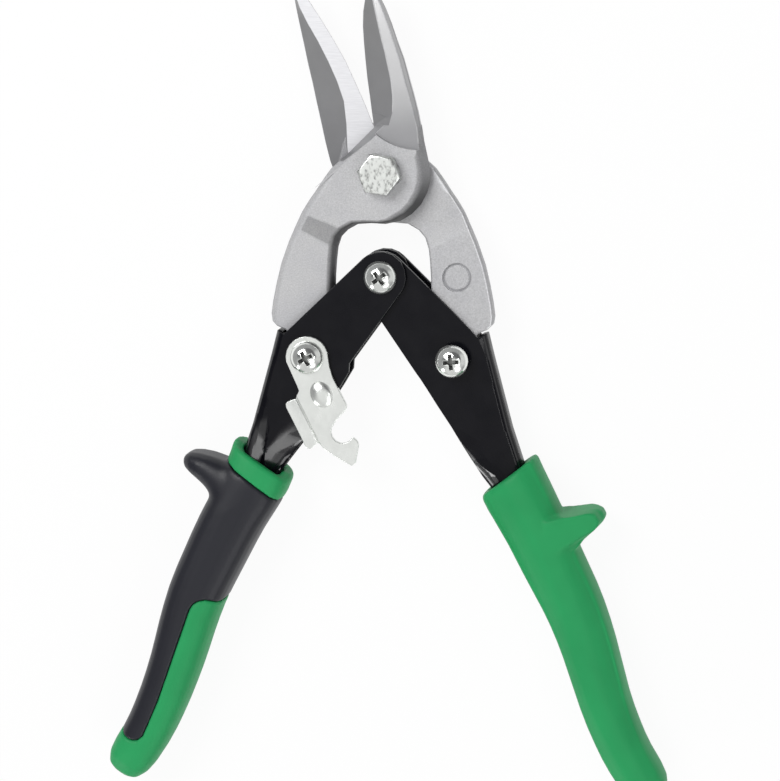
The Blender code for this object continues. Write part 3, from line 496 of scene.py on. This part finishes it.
def cut_from(ob, tool):
    """Takes a mesh form out of a piece."""
    cutter = link("cutter", tool)
    mod = ob.modifiers.new("cut", 'BOOLEAN')
    mod.operation = 'DIFFERENCE'
    mod.solver = 'EXACT'
    mod.object = cutter
    apply_modifiers(ob)
    bpy.data.objects.remove(cutter)


def ring_form(centre, inner, outer, low, high, count=64):
    """Square-edged ring about a vertical axis, in millimetres."""
    rings = []
    for i in range(count):
        a = 2 * math.pi * i / count
        c, k = math.cos(a), math.sin(a)
        rings.append([(centre[0] + r * c, centre[1] + r * k, z) for r, z in
                      ((inner, low), (outer, low), (outer, high), (inner, high))])
    bm = bmesh.new()
    rows = [[bm.verts.new(Vector(q) * MM) for q in ring] for ring in rings]
    for i in range(count):
        a, b = rows[i], rows[(i + 1) % count]
        for j in range(4):
            k = (j + 1) % 4
            bm.faces.new((a[j], a[k], b[k], b[j]))
    bmesh.ops.recalc_face_normals(bm, faces=bm.faces)
    return finish_mesh("ring_form", bm)


# Blades: the rear one's rubbing face, its round mark and the front one's milled arc, in millimetres
RUB_Z = 10.65
RUB_SHOWS_X = -9.0
MARK = (22.6, -31.0)
MARK_INNER = 3.6
MARK_OUTER = 4.4
MARK_FLOOR = MID + 1.85
MILL = (11.0, 27.0)
MILL_R = 19.7
BOSS_TOP = MID + 5.05
HAIRLINE = 0.04


def from_mark(x, y):
    return math.hypot(x - MARK[0], y - MARK[1])


def from_mill(x, y):
    return abs(math.hypot(x - MILL[0], y - MILL[1]) - MILL_R)


def on_rubbing_face(normal, z):
    return normal.z > 0.99 and abs(z - RUB_Z) < 0.03


def at_jaw_root(spot):
    return 8.0 < spot.y < 20.5 and spot.x < 4.5


def blade_piece(name, source, mats, wanted):
    """Forging with rounded edges, except at its cutting edge and the face that rubs on the other blade."""
    ob = clean_copy(name, source)
    if source == "rear_blade":
        cut_from(ob, ring_form(MARK, MARK_INNER, MARK_OUTER, MARK_FLOOR, MID + 4.0))
        bm = editable(ob)
        rubbing = [f for f in bm.faces if on_rubbing_face(f.normal, f.calc_center_median().z / MM)]
        split_faces(bm, rubbing, Vector((RUB_SHOWS_X, 0.0, 0.0)), Vector((1.0, 0.0, 0.0)))
        write_back(bm, ob)
    smooth(ob, 14.0)

    def want(edge, mid):
        walls = all(abs(f.normal.z) < 0.75 for f in edge.link_faces)
        if walls and edge.calc_face_angle(0.0) < math.radians(40.0):
            edge.smooth = True
            return 0.0
        root = source == "front_blade" and at_jaw_root(mid)
        if root and edge.calc_face_angle(0.0) < math.radians(32.0):
            return 0.0
        out = sum((f.normal for f in edge.link_faces), Vector())
        return wanted(mid, out)

    round_edges(ob, 2.0, 4, 14.0, want, 0)
    level_normals(ob, False)
    return stand_for(ob, source, mats)


def front_round(mid, out):
    """Width of the front blade's rounding: large round the boss, hardly any at the root of the jaw."""
    milled = from_mill(mid.x, mid.y) < 0.9 and mid.z > MID + 3.0
    if abs(mid.z - MID) < 0.7 or at_jaw_root(mid) or milled:
        return HAIRLINE
    if mid.y > 8.6:
        return 0.3
    return 1.5 if mid.x > 3.0 and mid.y > -14.0 else 0.9


def rear_round(mid, out):
    """Width of the rear blade's rounding: large along its outer side."""
    if from_mark(mid.x, mid.y) < MARK_OUTER + 0.5:
        return 0.12
    if out.x > 0.25 and mid.x > 9.0 and mid.y < 3.0 and out.z > 0.3:
        return 1.9
    if abs(mid.z - MID) < 0.7 or (mid.x < -1.0 and -6.0 < mid.y < 16.0):
        return HAIRLINE
    return 0.3 if mid.y > 0.0 else 0.7


FRONT_MATS = [FORGED, GROUND, PAINTED_SHADE_STEEL, LIT_LAND]
REAR_MATS = [FORGED_REAR, GROUND, SHEAR_FACE, PAINTED_SHADE_STEEL]


def front_finish(x, y, z, n):
    """Finish of a face of the front blade: ground jaw and milled arc, with the lit land copy on faces turned
    up or to the right, and painted shade on the walls of the inner arch.
    """
    level = abs(z - BOSS_TOP) < 0.03 and n.z > 0.99
    milled = from_mill(x, y) < 0.15 and abs(n.z) < 0.3
    flank = x < 0.5 and y > 3.0 and n.z < 0.9
    # Walls of the window, facing into it: painted shade.
    inner = n.z < 0.6 and x < 0.0 and n.x * -x + n.y * (-30.0 - y) > 0.0 and -50.0 < y < -8.0
    if y > 14.55 or level or milled or flank:
        # Faces turned up or to the right take the lit copy of the ground steel: painted light.
        lit_land_face = n.z > 0.9 and x > -1.0 - 0.12 * (y - 14.0) or n.x > 0.2
        return LIT_LAND if lit_land_face and z > MID + 1.0 else GROUND
    return PAINTED_SHADE_STEEL if inner else FORGED


def rear_finish(x, y, z, n):
    """Finish of a face of the rear blade: bright shear face, ground jaw, and painted shade in the round
    mark's groove and on the rubbing face beside the front blade.
    """
    # The rubbing face where it shows beside the front blade: painted shade.
    if x < RUB_SHOWS_X and on_rubbing_face(n, z):
        return PAINTED_SHADE_STEEL
    if x < -1.0 and (y > 6.0 or (y > -3.0 and x < -8.0)):
        return SHEAR_FACE if n.z > 0.98 and y > 0.0 else GROUND
    # The round mark's groove: painted shade.
    if MARK_INNER - 0.1 < from_mark(x, y) < MARK_OUTER + 0.1 and MID + 1.0 < z < MID + 2.5:
        return PAINTED_SHADE_STEEL
    return FORGED_REAR


front = blade_piece("front_blade_forging", "front_blade", FRONT_MATS, front_round)
rear = blade_piece("rear_blade_forging", "rear_blade", REAR_MATS, rear_round)
for blade, mats, finish in ((front, FRONT_MATS, front_finish), (rear, REAR_MATS, rear_finish)):
    for face in blade.data.polygons:
        x, y, z = face.center / MM
        face.material_index = mats.index(finish(x, y, z, face.normal))

# Fasteners: screws have painted shade in their cross recess
RECESS_R = 2.9
RECESS_DEPTH = 2.1
for part in ("pivot_bolt", "pivot_nut", "toggle_nut", "left_tang_nut", "right_tang_nut"):
    metal_piece(part + "_finished", part, [ZINC_BOLT], 0.25, 3, 30.0)
for part in ("toggle_screw", "left_tang_screw", "right_tang_screw"):
    screw = metal_piece(part + "_finished", part, [ZINC_SCREW, RECESS_PAINTED_SHADE], 0.05, 2, 35.0)
    pts = get_points(screw.data)
    axis = pts[:, :2].min(axis=0) / 2 + pts[:, :2].max(axis=0) / 2
    top = pts[:, 2].max()
    for face in screw.data.polygons:
        spot = np.array(face.center) / MM
        within = math.hypot(*(spot[:2] - axis)) < RECESS_R and top - RECESS_DEPTH < spot[2]
        # Faces down in the cross recess take the painted shade.
        if within and (face.normal.z < 0.75 or spot[2] < top - 1.2):
            face.material_index = 1


# Latch, in millimetres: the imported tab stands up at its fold, and is laid over further out
FOLD_START = Vector((-24.2, -67.3, 0.0))
FOLD_END = Vector((-17.6, -80.3, 0.0))
FOLD_OUT = (FOLD_END - FOLD_START).normalized().cross(Vector((0.0, 0.0, 1.0)))
FOLD_FROM = -1.28
TAB_STANDS = math.radians(58.0)
TAB_LEANS = math.radians(5.0)
TAB_SHRINK = 0.86
TAB_THICK = 1.4
TAB_TOP_Y = -66.3
TAB_LOW_Y = -82.2
PLATE_SHIFT = 1.3
CREASE_AT = 1.12
CREASE_HALF = 0.25
CREASE_DEPTH = 0.28
PLATE_TOP = 19.1
PLATE_PROUD = 0.05
DIMPLE = (-17.5, -66.6)
DIMPLE_RX = 3.55
DIMPLE_RY = 4.45
DIMPLE_RISE = 1.72
DIMPLE_SUNK = 0.7
DIMPLE_TURN = math.radians(28)
DIMPLE_SIDES = 48


def dimple_ring(lat):
    """Ring of the latch's oval dimple at an angle up its side."""
    c, k = math.cos(math.radians(lat)), math.sin(math.radians(lat))
    z = PLATE_TOP - DIMPLE_SUNK + DIMPLE_RISE * k
    ring = []
    for i in range(DIMPLE_SIDES):
        a = 2.0 * math.pi * i / DIMPLE_SIDES
        x, y = DIMPLE_RX * c * math.cos(a), DIMPLE_RY * c * math.sin(a)
        ring.append(Vector((DIMPLE[0] + x * math.cos(DIMPLE_TURN) - y * math.sin(DIMPLE_TURN),
                            DIMPLE[1] + x * math.sin(DIMPLE_TURN) + y * math.cos(DIMPLE_TURN), z)) * MM)
    return ring


def lay_tab(pts):
    """Turns the standing tab down about its fold and moves it out with the plate's edge."""
    past = (pts[:, :2] - np.array(FOLD_START[:2])) @ np.array(FOLD_OUT[:2])
    rise = pts[:, 2] - PLATE_TOP - PLATE_PROUD
    up = math.cos(TAB_STANDS) * (past - FOLD_FROM) + math.sin(TAB_STANDS) * rise
    thick = math.sin(TAB_STANDS) * (past - FOLD_FROM) - math.cos(TAB_STANDS) * rise
    tab = (past > -1.6) & (pts[:, 1] < TAB_TOP_Y) & (pts[:, 1] > TAB_LOW_Y)
    outer = np.abs(thick - TAB_THICK) < 0.06
    slab = tab & ((rise > 0.15) | outer | (np.abs(past - FOLD_FROM) < 0.1))
    run = TAB_SHRINK * up
    laid = CREASE_AT + run * math.cos(TAB_LEANS) + thick * math.sin(TAB_LEANS)
    level = PLATE_TOP + PLATE_PROUD + run * math.sin(TAB_LEANS) - thick * math.cos(TAB_LEANS)
    shift = np.where(slab, laid - past, np.where(tab, PLATE_SHIFT, 0.0))
    moved = pts.copy()
    moved[:, 2] = np.where(slab, level, pts[:, 2])
    moved[:, :2] += shift[:, None] * np.array(FOLD_OUT[:2])
    return moved


def sink_dimple(pts):
    """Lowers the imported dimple's points under the finer one."""
    near = np.hypot(pts[:, 0] - DIMPLE[0], pts[:, 1] - DIMPLE[1]) < 4.6
    moved = pts.copy()
    moved[near & (pts[:, 2] > PLATE_TOP + PLATE_PROUD), 2] = PLATE_TOP - PLATE_PROUD
    return moved


def crease_fold(ob):
    """Presses a fine groove into the plate along the tab's fold."""
    bm = editable(ob)
    for offset in (CREASE_AT - CREASE_HALF, CREASE_AT + CREASE_HALF):
        upper = [f for f in bm.faces
                 if f.calc_center_median().z > (PLATE_TOP - 0.3) * MM and f.normal.z > 0.3]
        split_faces(bm, upper, FOLD_START + FOLD_OUT * offset, FOLD_OUT)
    for v in bm.verts:
        spot = v.co / MM
        on_fold = abs((spot - FOLD_START).dot(FOLD_OUT) - CREASE_AT) < 0.12
        if on_fold and spot.z > PLATE_TOP - 0.2 and -81.5 < spot.y < -67.0:
            v.co.z -= CREASE_DEPTH * MM
    write_back(bm, ob)


def latch_piece():
    """Latch with its thumb tab laid over, a crease along the tab's fold and a round dimple."""
    ob = clean_copy("latch_finished", "latch")
    set_points(ob.data, sink_dimple(lay_tab(get_points(ob.data))))
    crease_fold(ob)
    smooth(ob, 40.0)
    round_edges(ob, 0.15, 2, 30.0)
    apply_modifiers(ob)
    bm = editable(ob)
    rows = [[bm.verts.new(q) for q in dimple_ring(lat)] for lat in range(8, 81, 8)]
    for low, high in zip(rows, rows[1:]):
        for i in range(DIMPLE_SIDES):
            k = (i + 1) % DIMPLE_SIDES
            bm.faces.new((low[i], low[k], high[k], high[i])).smooth = True
    bm.faces.new(rows[-1]).smooth = True
    bm.faces.new(rows[0][::-1])
    write_back(bm, ob)
    return stand_for(ob, "latch", [ZINC])


latch_piece()
metal_piece("toggle_sleeve_finished", "toggle_sleeve", [ZINC], 0.15, 2, 35.0)


def slice_across(bm, inside, start, direction, offsets):
    """Cuts the faces inside a zone by vertical planes, at offsets to the left of a plan line."""
    left = Vector((-direction[1], direction[0], 0.0)).normalized()
    for offset in offsets:
        zone = [f for f in bm.faces if inside([v.co.y / MM for v in f.verts])]
        split_faces(bm, zone, Vector((start[0], start[1], 0.0)) + left * offset, left)


# Channels, in millimetres: the flanges are sliced finely where they are pressed in
CHANNEL_OFFSET = 0.95
SLICE = 0.7
BEND_R = 0.7
CUT_EDGE_R = 0.3
CREASE_RUN = 4.4
CREASE_LIP = 0.7
PRESS_EASE = 0.5


def channel_round(edge, mid):
    """The bends of the sheet are rounder than its cut edges."""
    return BEND_R if edge.calc_face_angle(0.0) < math.radians(60.0) else CUT_EDGE_R


def channel_piece(name, source, edge, slope, start, full, reach, crease=None):
    """Channel whose flanges are pressed in along their free edge where they run into the grip."""
    ob = clean_copy(name, source)
    smooth(ob, 50.0)
    round_edges(ob, BEND_R, 3, 40.0, channel_round)
    apply_modifiers(ob)
    bm = editable(ob)

    def zone(ys):
        return max(ys) > full - 12.0 and min(ys) < start + 1.0

    run = Vector((edge[-2][0] - edge[1][0], edge[-2][1] - edge[1][1]))
    side = -1.0 if source == "left_channel" else 1.0
    centre = MID - side * CHANNEL_OFFSET
    slice_across(bm, zone, edge[1], (run.y, -run.x), [SLICE * i for i in range(-6, 42)])
    slice_across(bm, zone, edge[1], run, [side * reach * k / 8 for k in range(-2, 11)])
    if crease:
        slice_across(bm, zone, crease[1], (crease[-2][0] - crease[1][0], crease[-2][1] - crease[1][1]),
                     [CREASE_LIP, CREASE_LIP / 2] + [-CREASE_RUN * k / 4 for k in range(5)])
    write_back(bm, ob)
    pts = get_points(ob.data)
    away = np.abs(beside_line(pts, edge))
    grow = 1.0 - smoothstep(full, start, pts[:, 1])
    band = reach * (grow if crease is None else 1.0)
    inner = np.maximum(band - away, 0.0)
    drop = slope * inner * inner / (inner + PRESS_EASE)
    if crease:
        past = -beside_line(pts, crease)
        outward = np.clip(1.0 - past / CREASE_RUN, 0.0, 1.0)
        inward = np.clip(1.0 + past / CREASE_LIP, 0.0, 1.0)
        drop = drop + slope * CREASE_RUN * np.where(past > 0.0, outward, inward)
        drop = drop * grow
    w = pts[:, 2] - centre
    drop = drop * smoothstep(2.0, 3.4, np.abs(w))
    pts[:, 2] -= np.sign(w) * np.minimum(drop, np.maximum(np.abs(w) - 1.0, 0.0))
    set_points(ob.data, pts)
    smooth(ob, 40.0)
    level_normals(ob, True)
    stand_for(ob, source, [BLACK, BLACK_WEB])
    mark_bent(ob.data, drop)


def mark_bent(mesh, drop):
    """Gives the web its own enamel, and marks where the sheet is pressed in or bent over."""
    pressed = smoothstep(0.0, 0.45, drop)
    corners = np.array([pressed[loop.vertex_index] for loop in mesh.loops], dtype=np.float32)
    for face in mesh.polygons:
        face.material_index = 1 if abs(face.normal.z) < 0.45 else 0
        if 0.55 < abs(face.normal.z) < 0.85 and drop[list(face.vertices)].max() < 0.02:
            corners[list(face.loop_indices)] = 1.0
    mesh.attributes.new("bent", 'FLOAT', 'CORNER').data.foreach_set("value", corners)


RIGHT_EDGE = [(10.2, -59.3), (20.8, -75.3), (24.0, -80.7), (27.3, -86.2), (30.7, -91.5),
              (33.5, -95.8), (41.0, -110.5)]
LEFT_EDGE = [(-12.3, -64.7), (-19.4, -75.7), (-23.0, -80.9), (-27.1, -86.3), (-31.0, -91.5),
             (-33.5, -95.8), (-41.0, -110.5)]
LEFT_CREASE = [(-34.0, -70.0), (-34.5, -74.0), (-35.4, -81.0), (-36.2, -88.0), (-38.0, -98.0)]
channel_piece("left_channel_pressing", "left_channel", LEFT_EDGE, 0.40, -73.0, -82.0, 8.0, LEFT_CREASE)
channel_piece("right_channel_pressing", "right_channel", RIGHT_EDGE, 0.36, -78.0, -94.0, 3.0)

# Grips: the right one has a soft crest that runs from its rim past the guard to its inner side
RIGHT_CREST = [(36.0, -84.0), (41.6, -92.6), (49.6, -106.3), (53.0, -115.0), (56.6, -124.0), (60.1, -134.0),
               (62.3, -145.0), (65.5, -155.0), (70.0, -164.5), (76.0, -175.5), (84.0, -190.0)]
GUARD_AXIS = [(50.6, -108.8), (59.5, -105.0), (67.8, -101.2)]
GUARD_ROOT_X = 50.6
GUARD_LENGTH = 17.2
RIGHT_RIM = (38.5, -90.1)
LEFT_RIM = (-36.7, -87.7)
RIM_SLANT = 0.2586
GRIP_DOWN = (0.376, -0.927)


def lower_rim(pts, side, centre, amount, depth, front):
    """Draws a grip's rim down along its axis; front tells how much of it only the front takes."""
    down = np.array((side * GRIP_DOWN[0], GRIP_DOWN[1]))
    out_n = np.array((-side * GRIP_DOWN[1], GRIP_DOWN[0]))
    rel = pts[:, :2] - np.array(centre)
    below = rel @ down + RIM_SLANT * (rel @ out_n)
    share = np.clip(1.0 - below / depth, 0.0, 1.0)
    w = pts[:, 2] - MID
    share = share * (1.0 - front + front * smoothstep(1.0, 7.0, w))
    moved = pts.copy()
    moved[:, :2] += (amount * share)[:, None] * down
    return moved


def right_shape(pts):
    """Crest with facets beside it; the guard's face stays level with the crest."""
    pts = lower_rim(pts, 1.0, RIGHT_RIM, 1.5, 9.0, 0.0)
    out = crest(pts, RIGHT_CREST, 4.0, 0.30, 0.34)
    off = np.abs(beside_line(pts, GUARD_AXIS))
    run = np.clip((pts[:, 0] - GUARD_ROOT_X) / GUARD_LENGTH, 0.0, 1.0)
    keep = 1.0 - smoothstep(0.0, 0.9, off - (5.6 - 3.2 * run))
    keep *= smoothstep(GUARD_ROOT_X - 1.4, GUARD_ROOT_X, pts[:, 0])
    w = pts[:, 2] - MID
    face = (10.9 - 3.6 * run * run) * keep
    lifted = MID + np.sign(w) * np.maximum(np.abs(out[:, 2] - MID), face)
    out[:, 2] = np.where((np.abs(w) > 5.0) & (keep > 0.0), lifted, out[:, 2])
    return out


moulding("right_grip_moulding", "right_grip", GREEN, 0.45, 6, right_shape)
moulding("left_grip_moulding", "left_grip_core", GREEN, 0.4, 6, swell=0.13,
         shaped=lambda pts: lower_rim(pts, -1.0, LEFT_RIM, 1.3, 6.0, 0.8))
moulding("left_overmould_moulding", "left_grip_overmould", GREY, 0.4, 6, swell=0.13,
         local=[((-49.5, -95.0, 19.5), 9.0, 60), ((-49.5, -95.0, 2.5), 9.0, 60)])


# Spring
WIRE_SIDES = 12
COIL_STEPS = 120


def wound_spring(name, wire_r, coil_r, centre_y, turns, half_rise, tip):
    """Round wire: a leg, a coil about the toggle and a second leg."""
    aim = math.atan2(tip[1] - centre_y, tip[0])
    leave = aim + math.acos(coil_r / math.hypot(tip[0], tip[1] - centre_y))
    sweep = math.pi - 2.0 * leave + 2.0 * math.pi * turns
    root = (coil_r * math.cos(leave), centre_y + coil_r * math.sin(leave))
    run = (tip[0] - root[0], tip[1] - root[1])
    path = [(-tip[0] + run[0] * t, tip[1] - run[1] * t, half_rise) for t in (0.0, 0.3, 0.6, 0.9)]
    for i in range(COIL_STEPS + 1):
        a = math.pi - leave - sweep * i / COIL_STEPS
        rise = half_rise * (1.0 - 2.0 * i / COIL_STEPS)
        path.append((coil_r * math.cos(a), centre_y + coil_r * math.sin(a), rise))
    path += [(root[0] + run[0] * t, root[1] + run[1] * t, -half_rise) for t in (0.1, 0.4, 0.7, 1.0)]
    path = [Vector((x, y, MID + z)) for x, y, z in path]
    bm = bmesh.new()
    rows = []
    for i, p in enumerate(path):
        ahead = (path[min(i + 1, len(path) - 1)] - path[max(i - 1, 0)]).normalized()
        side = ahead.cross(Vector((0.0, 0.0, 1.0))).normalized()
        over = side.cross(ahead)
        rows.append([bm.verts.new((p + wire_r * (side * math.cos(t) + over * math.sin(t))) * MM)
                     for t in [2.0 * math.pi * k / WIRE_SIDES for k in range(WIRE_SIDES)]])
    for low, high in zip(rows, rows[1:]):
        for i in range(WIRE_SIDES):
            k = (i + 1) % WIRE_SIDES
            bm.faces.new((low[i], low[k], high[k], high[i]))
    bm.faces.new(rows[0])
    bm.faces.new(rows[-1])
    bmesh.ops.recalc_face_normals(bm, faces=bm.faces)
    return link(name, finish_mesh(name, bm))


spring = wound_spring("return_spring_wire", 0.55, 5.1, -31.0, 2, 1.9, (11.2, -46.4))
smooth(spring, 50.0)
spring.data.materials.clear()
spring.data.materials.append(WIRE_STEEL)
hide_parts("return_spring")
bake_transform(spring)


# Table, light and camera
FLOOR_SEEN = 0.94
FLOOR_MIRRORED = 0.9
SURROUND = (0.28, 0.28, 0.285, 1.0)
DARK_BAND = (0.04, 0.04, 0.045, 1.0)


def white_floor():
    """White table that shows as white, with a trace of the object's shadow."""
    mat, tree, bsdf = new_material("white_table")
    out = tree.nodes["Material Output"]
    bsdf.inputs["Base Color"].default_value = (0.86, 0.86, 0.86, 1.0)
    bsdf.inputs["Roughness"].default_value = 0.7
    glow = node(tree, "ShaderNodeEmission")
    glow.inputs["Color"].default_value = (1.0, 1.0, 1.0, 1.0)
    glow.inputs["Strength"].default_value = 1.0
    rays = node(tree, "ShaderNodeLightPath")
    either = node(tree, "ShaderNodeMath", operation='MAXIMUM')
    tree.links.new(rays.outputs["Is Glossy Ray"], either.inputs[0])
    tree.links.new(rays.outputs["Is Transmission Ray"], either.inputs[1])
    mirrored = node(tree, "ShaderNodeMath", operation='MULTIPLY')
    mirrored.inputs[1].default_value = FLOOR_MIRRORED
    tree.links.new(either.outputs[0], mirrored.inputs[0])
    direct = node(tree, "ShaderNodeMath", operation='MULTIPLY')
    direct.inputs[1].default_value = FLOOR_SEEN
    tree.links.new(rays.outputs["Is Camera Ray"], direct.inputs[0])
    seen = node(tree, "ShaderNodeMath", operation='MAXIMUM')
    tree.links.new(mirrored.outputs[0], seen.inputs[0])
    tree.links.new(direct.outputs[0], seen.inputs[1])
    mix = node(tree, "ShaderNodeMixShader")
    tree.links.new(seen.outputs[0], mix.inputs[0])
    tree.links.new(bsdf.outputs[0], mix.inputs[1])
    tree.links.new(glow.outputs[0], mix.inputs[2])
    tree.links.new(mix.outputs[0], out.inputs["Surface"])
    return mat


bm = bmesh.new()
bmesh.ops.create_grid(bm, x_segments=1, y_segments=1, size=20.0)
floor = link("table", finish_mesh("table", bm))
floor.location = (0.0, 0.0, -0.0002)
floor.data.materials.append(white_floor())

world = bpy.data.worlds.new("studio")
bpy.context.scene.world = world
world.use_nodes = True
tree = world.node_tree
back = tree.nodes["Background"]
back.inputs["Strength"].default_value = 1.0
coords = node(tree, "ShaderNodeTexCoord")


def card(under, direction, inner, outer, value):
    """Soft round card of one brightness in the studio's surroundings."""
    aim = Vector(direction).normalized()
    dot = node(tree, "ShaderNodeVectorMath", operation='DOT_PRODUCT')
    dot.inputs[1].default_value = aim
    tree.links.new(coords.outputs["Generated"], dot.inputs[0])
    edge = node(tree, "ShaderNodeMapRange", interpolation_type='SMOOTHSTEP')
    edge.inputs["From Min"].default_value = math.cos(math.radians(outer))
    edge.inputs["From Max"].default_value = math.cos(math.radians(inner))
    tree.links.new(dot.outputs["Value"], edge.inputs["Value"])
    mix = node(tree, "ShaderNodeMix", data_type='RGBA')
    tree.links.new(edge.outputs["Result"], mix.inputs["Factor"])
    if under is None:
        mix.inputs["A"].default_value = SURROUND
    else:
        tree.links.new(under, mix.inputs["A"])
    mix.inputs["B"].default_value = (value, value, value, 1.0)
    return mix.outputs["Result"]


split = node(tree, "ShaderNodeSeparateXYZ")
tree.links.new(coords.outputs["Generated"], split.inputs[0])


def between(socket, *stops):
    """Soft band: rises from the first to the second stop, and falls between the next two, if given."""
    slopes = []
    for low, high, start in zip(stops[::2], stops[1::2], (0.0, 1.0)):
        edge = node(tree, "ShaderNodeMapRange", interpolation_type='SMOOTHSTEP')
        edge.inputs["From Min"].default_value = low
        edge.inputs["From Max"].default_value = high
        edge.inputs["To Min"].default_value = start
        edge.inputs["To Max"].default_value = 1.0 - start
        tree.links.new(socket, edge.inputs["Value"])
        slopes.append(edge.outputs["Result"])
    if len(slopes) == 1:
        return slopes[0]
    both = node(tree, "ShaderNodeMath", operation='MULTIPLY')
    tree.links.new(slopes[0], both.inputs[0])
    tree.links.new(slopes[1], both.inputs[1])
    return both.outputs[0]


CARDS = [
    ((0.05, -0.75, 0.62), 28, 55, 0.65),
    ((0.95, 0.10, 0.35), 18, 40, 0.65),
    ((-0.12, -0.20, 0.97), 14, 28, 0.80),
    ((0.28, 0.05, 0.96), 8, 18, 0.85),
    ((0.52, -0.31, 0.80), 3, 13, 3.5),
    ((0.45, -0.70, 0.55), 4, 18, 3.0),
]
sky = None
for direction, inner, outer, value in CARDS:
    sky = card(sky, direction, inner, outer, value)
band = node(tree, "ShaderNodeMath", operation='MULTIPLY')
tree.links.new(between(split.outputs["Z"], 0.52, 0.62, 0.82, 0.92), band.inputs[0])
tree.links.new(between(split.outputs["Y"], -0.15, 0.15), band.inputs[1])
dark = node(tree, "ShaderNodeMix", data_type='RGBA')
tree.links.new(band.outputs[0], dark.inputs["Factor"])
tree.links.new(sky, dark.inputs["A"])
dark.inputs["B"].default_value = DARK_BAND
tree.links.new(dark.outputs["Result"], back.inputs["Color"])


def softbox(name, at, aim, size, power):
    data = bpy.data.lights.new(name, 'AREA')
    data.shape = 'RECTANGLE'
    data.size = size[0]
    data.size_y = size[1]
    data.energy = power
    lamp = link(name, data)
    lamp.location = at
    lamp.rotation_euler = (Vector(aim) - Vector(at)).to_track_quat('-Z', 'Y').to_euler()


CENTRE = (0.0, -0.06, 0.011)
softbox("key", (-0.55, 0.55, 1.10), CENTRE, (0.7, 0.7), 12.0)
softbox("bend", (0.726, -0.007, 0.993), (0.036, -0.073, 0.015), (0.16, 0.06), 0.45)
softbox("low_left", (-0.79, -0.93, 0.28), (0.028, -0.086, 0.013), (0.20, 0.44), 2.0)

# Camera fitted to the four fastener heads and the outline
CAM_TILT_X = math.radians(8.7)
CAM_TILT_Y = math.radians(8.4)
CAM_ROLL = math.radians(0.235)
CAM_AIM = Vector((0.00214, -0.066, 0.011))
CAM_DISTANCE = 1.0
CAM_PX_PER_M = 3307.0
PICTURE_PX = 781.0
SENSOR_MM = 36.0
toward = Vector((math.tan(CAM_TILT_X), math.tan(CAM_TILT_Y), 1.0)).normalized()
right = (-toward).cross(Vector((0.0, 1.0, 0.0))).normalized()
up = right.cross(-toward)
turn_right = right * math.cos(CAM_ROLL) + up * math.sin(CAM_ROLL)
turn_up = up * math.cos(CAM_ROLL) - right * math.sin(CAM_ROLL)
cam_data = bpy.data.cameras.new("camera")
cam_data.sensor_width = SENSOR_MM
cam_data.lens = CAM_PX_PER_M * CAM_DISTANCE * SENSOR_MM / PICTURE_PX
cam_data.clip_start = 0.05
camera = link("camera", cam_data)
place_at = CAM_AIM + toward * CAM_DISTANCE
camera.matrix_world = Matrix((
    (turn_right.x, turn_up.x, toward.x, place_at.x),
    (turn_right.y, turn_up.y, toward.y, place_at.y),
    (turn_right.z, turn_up.z, toward.z, place_at.z),
    (0.0, 0.0, 0.0, 1.0)))
bpy.context.scene.camera = camera
bpy.context.scene.view_settings.view_transform = 'Standard'
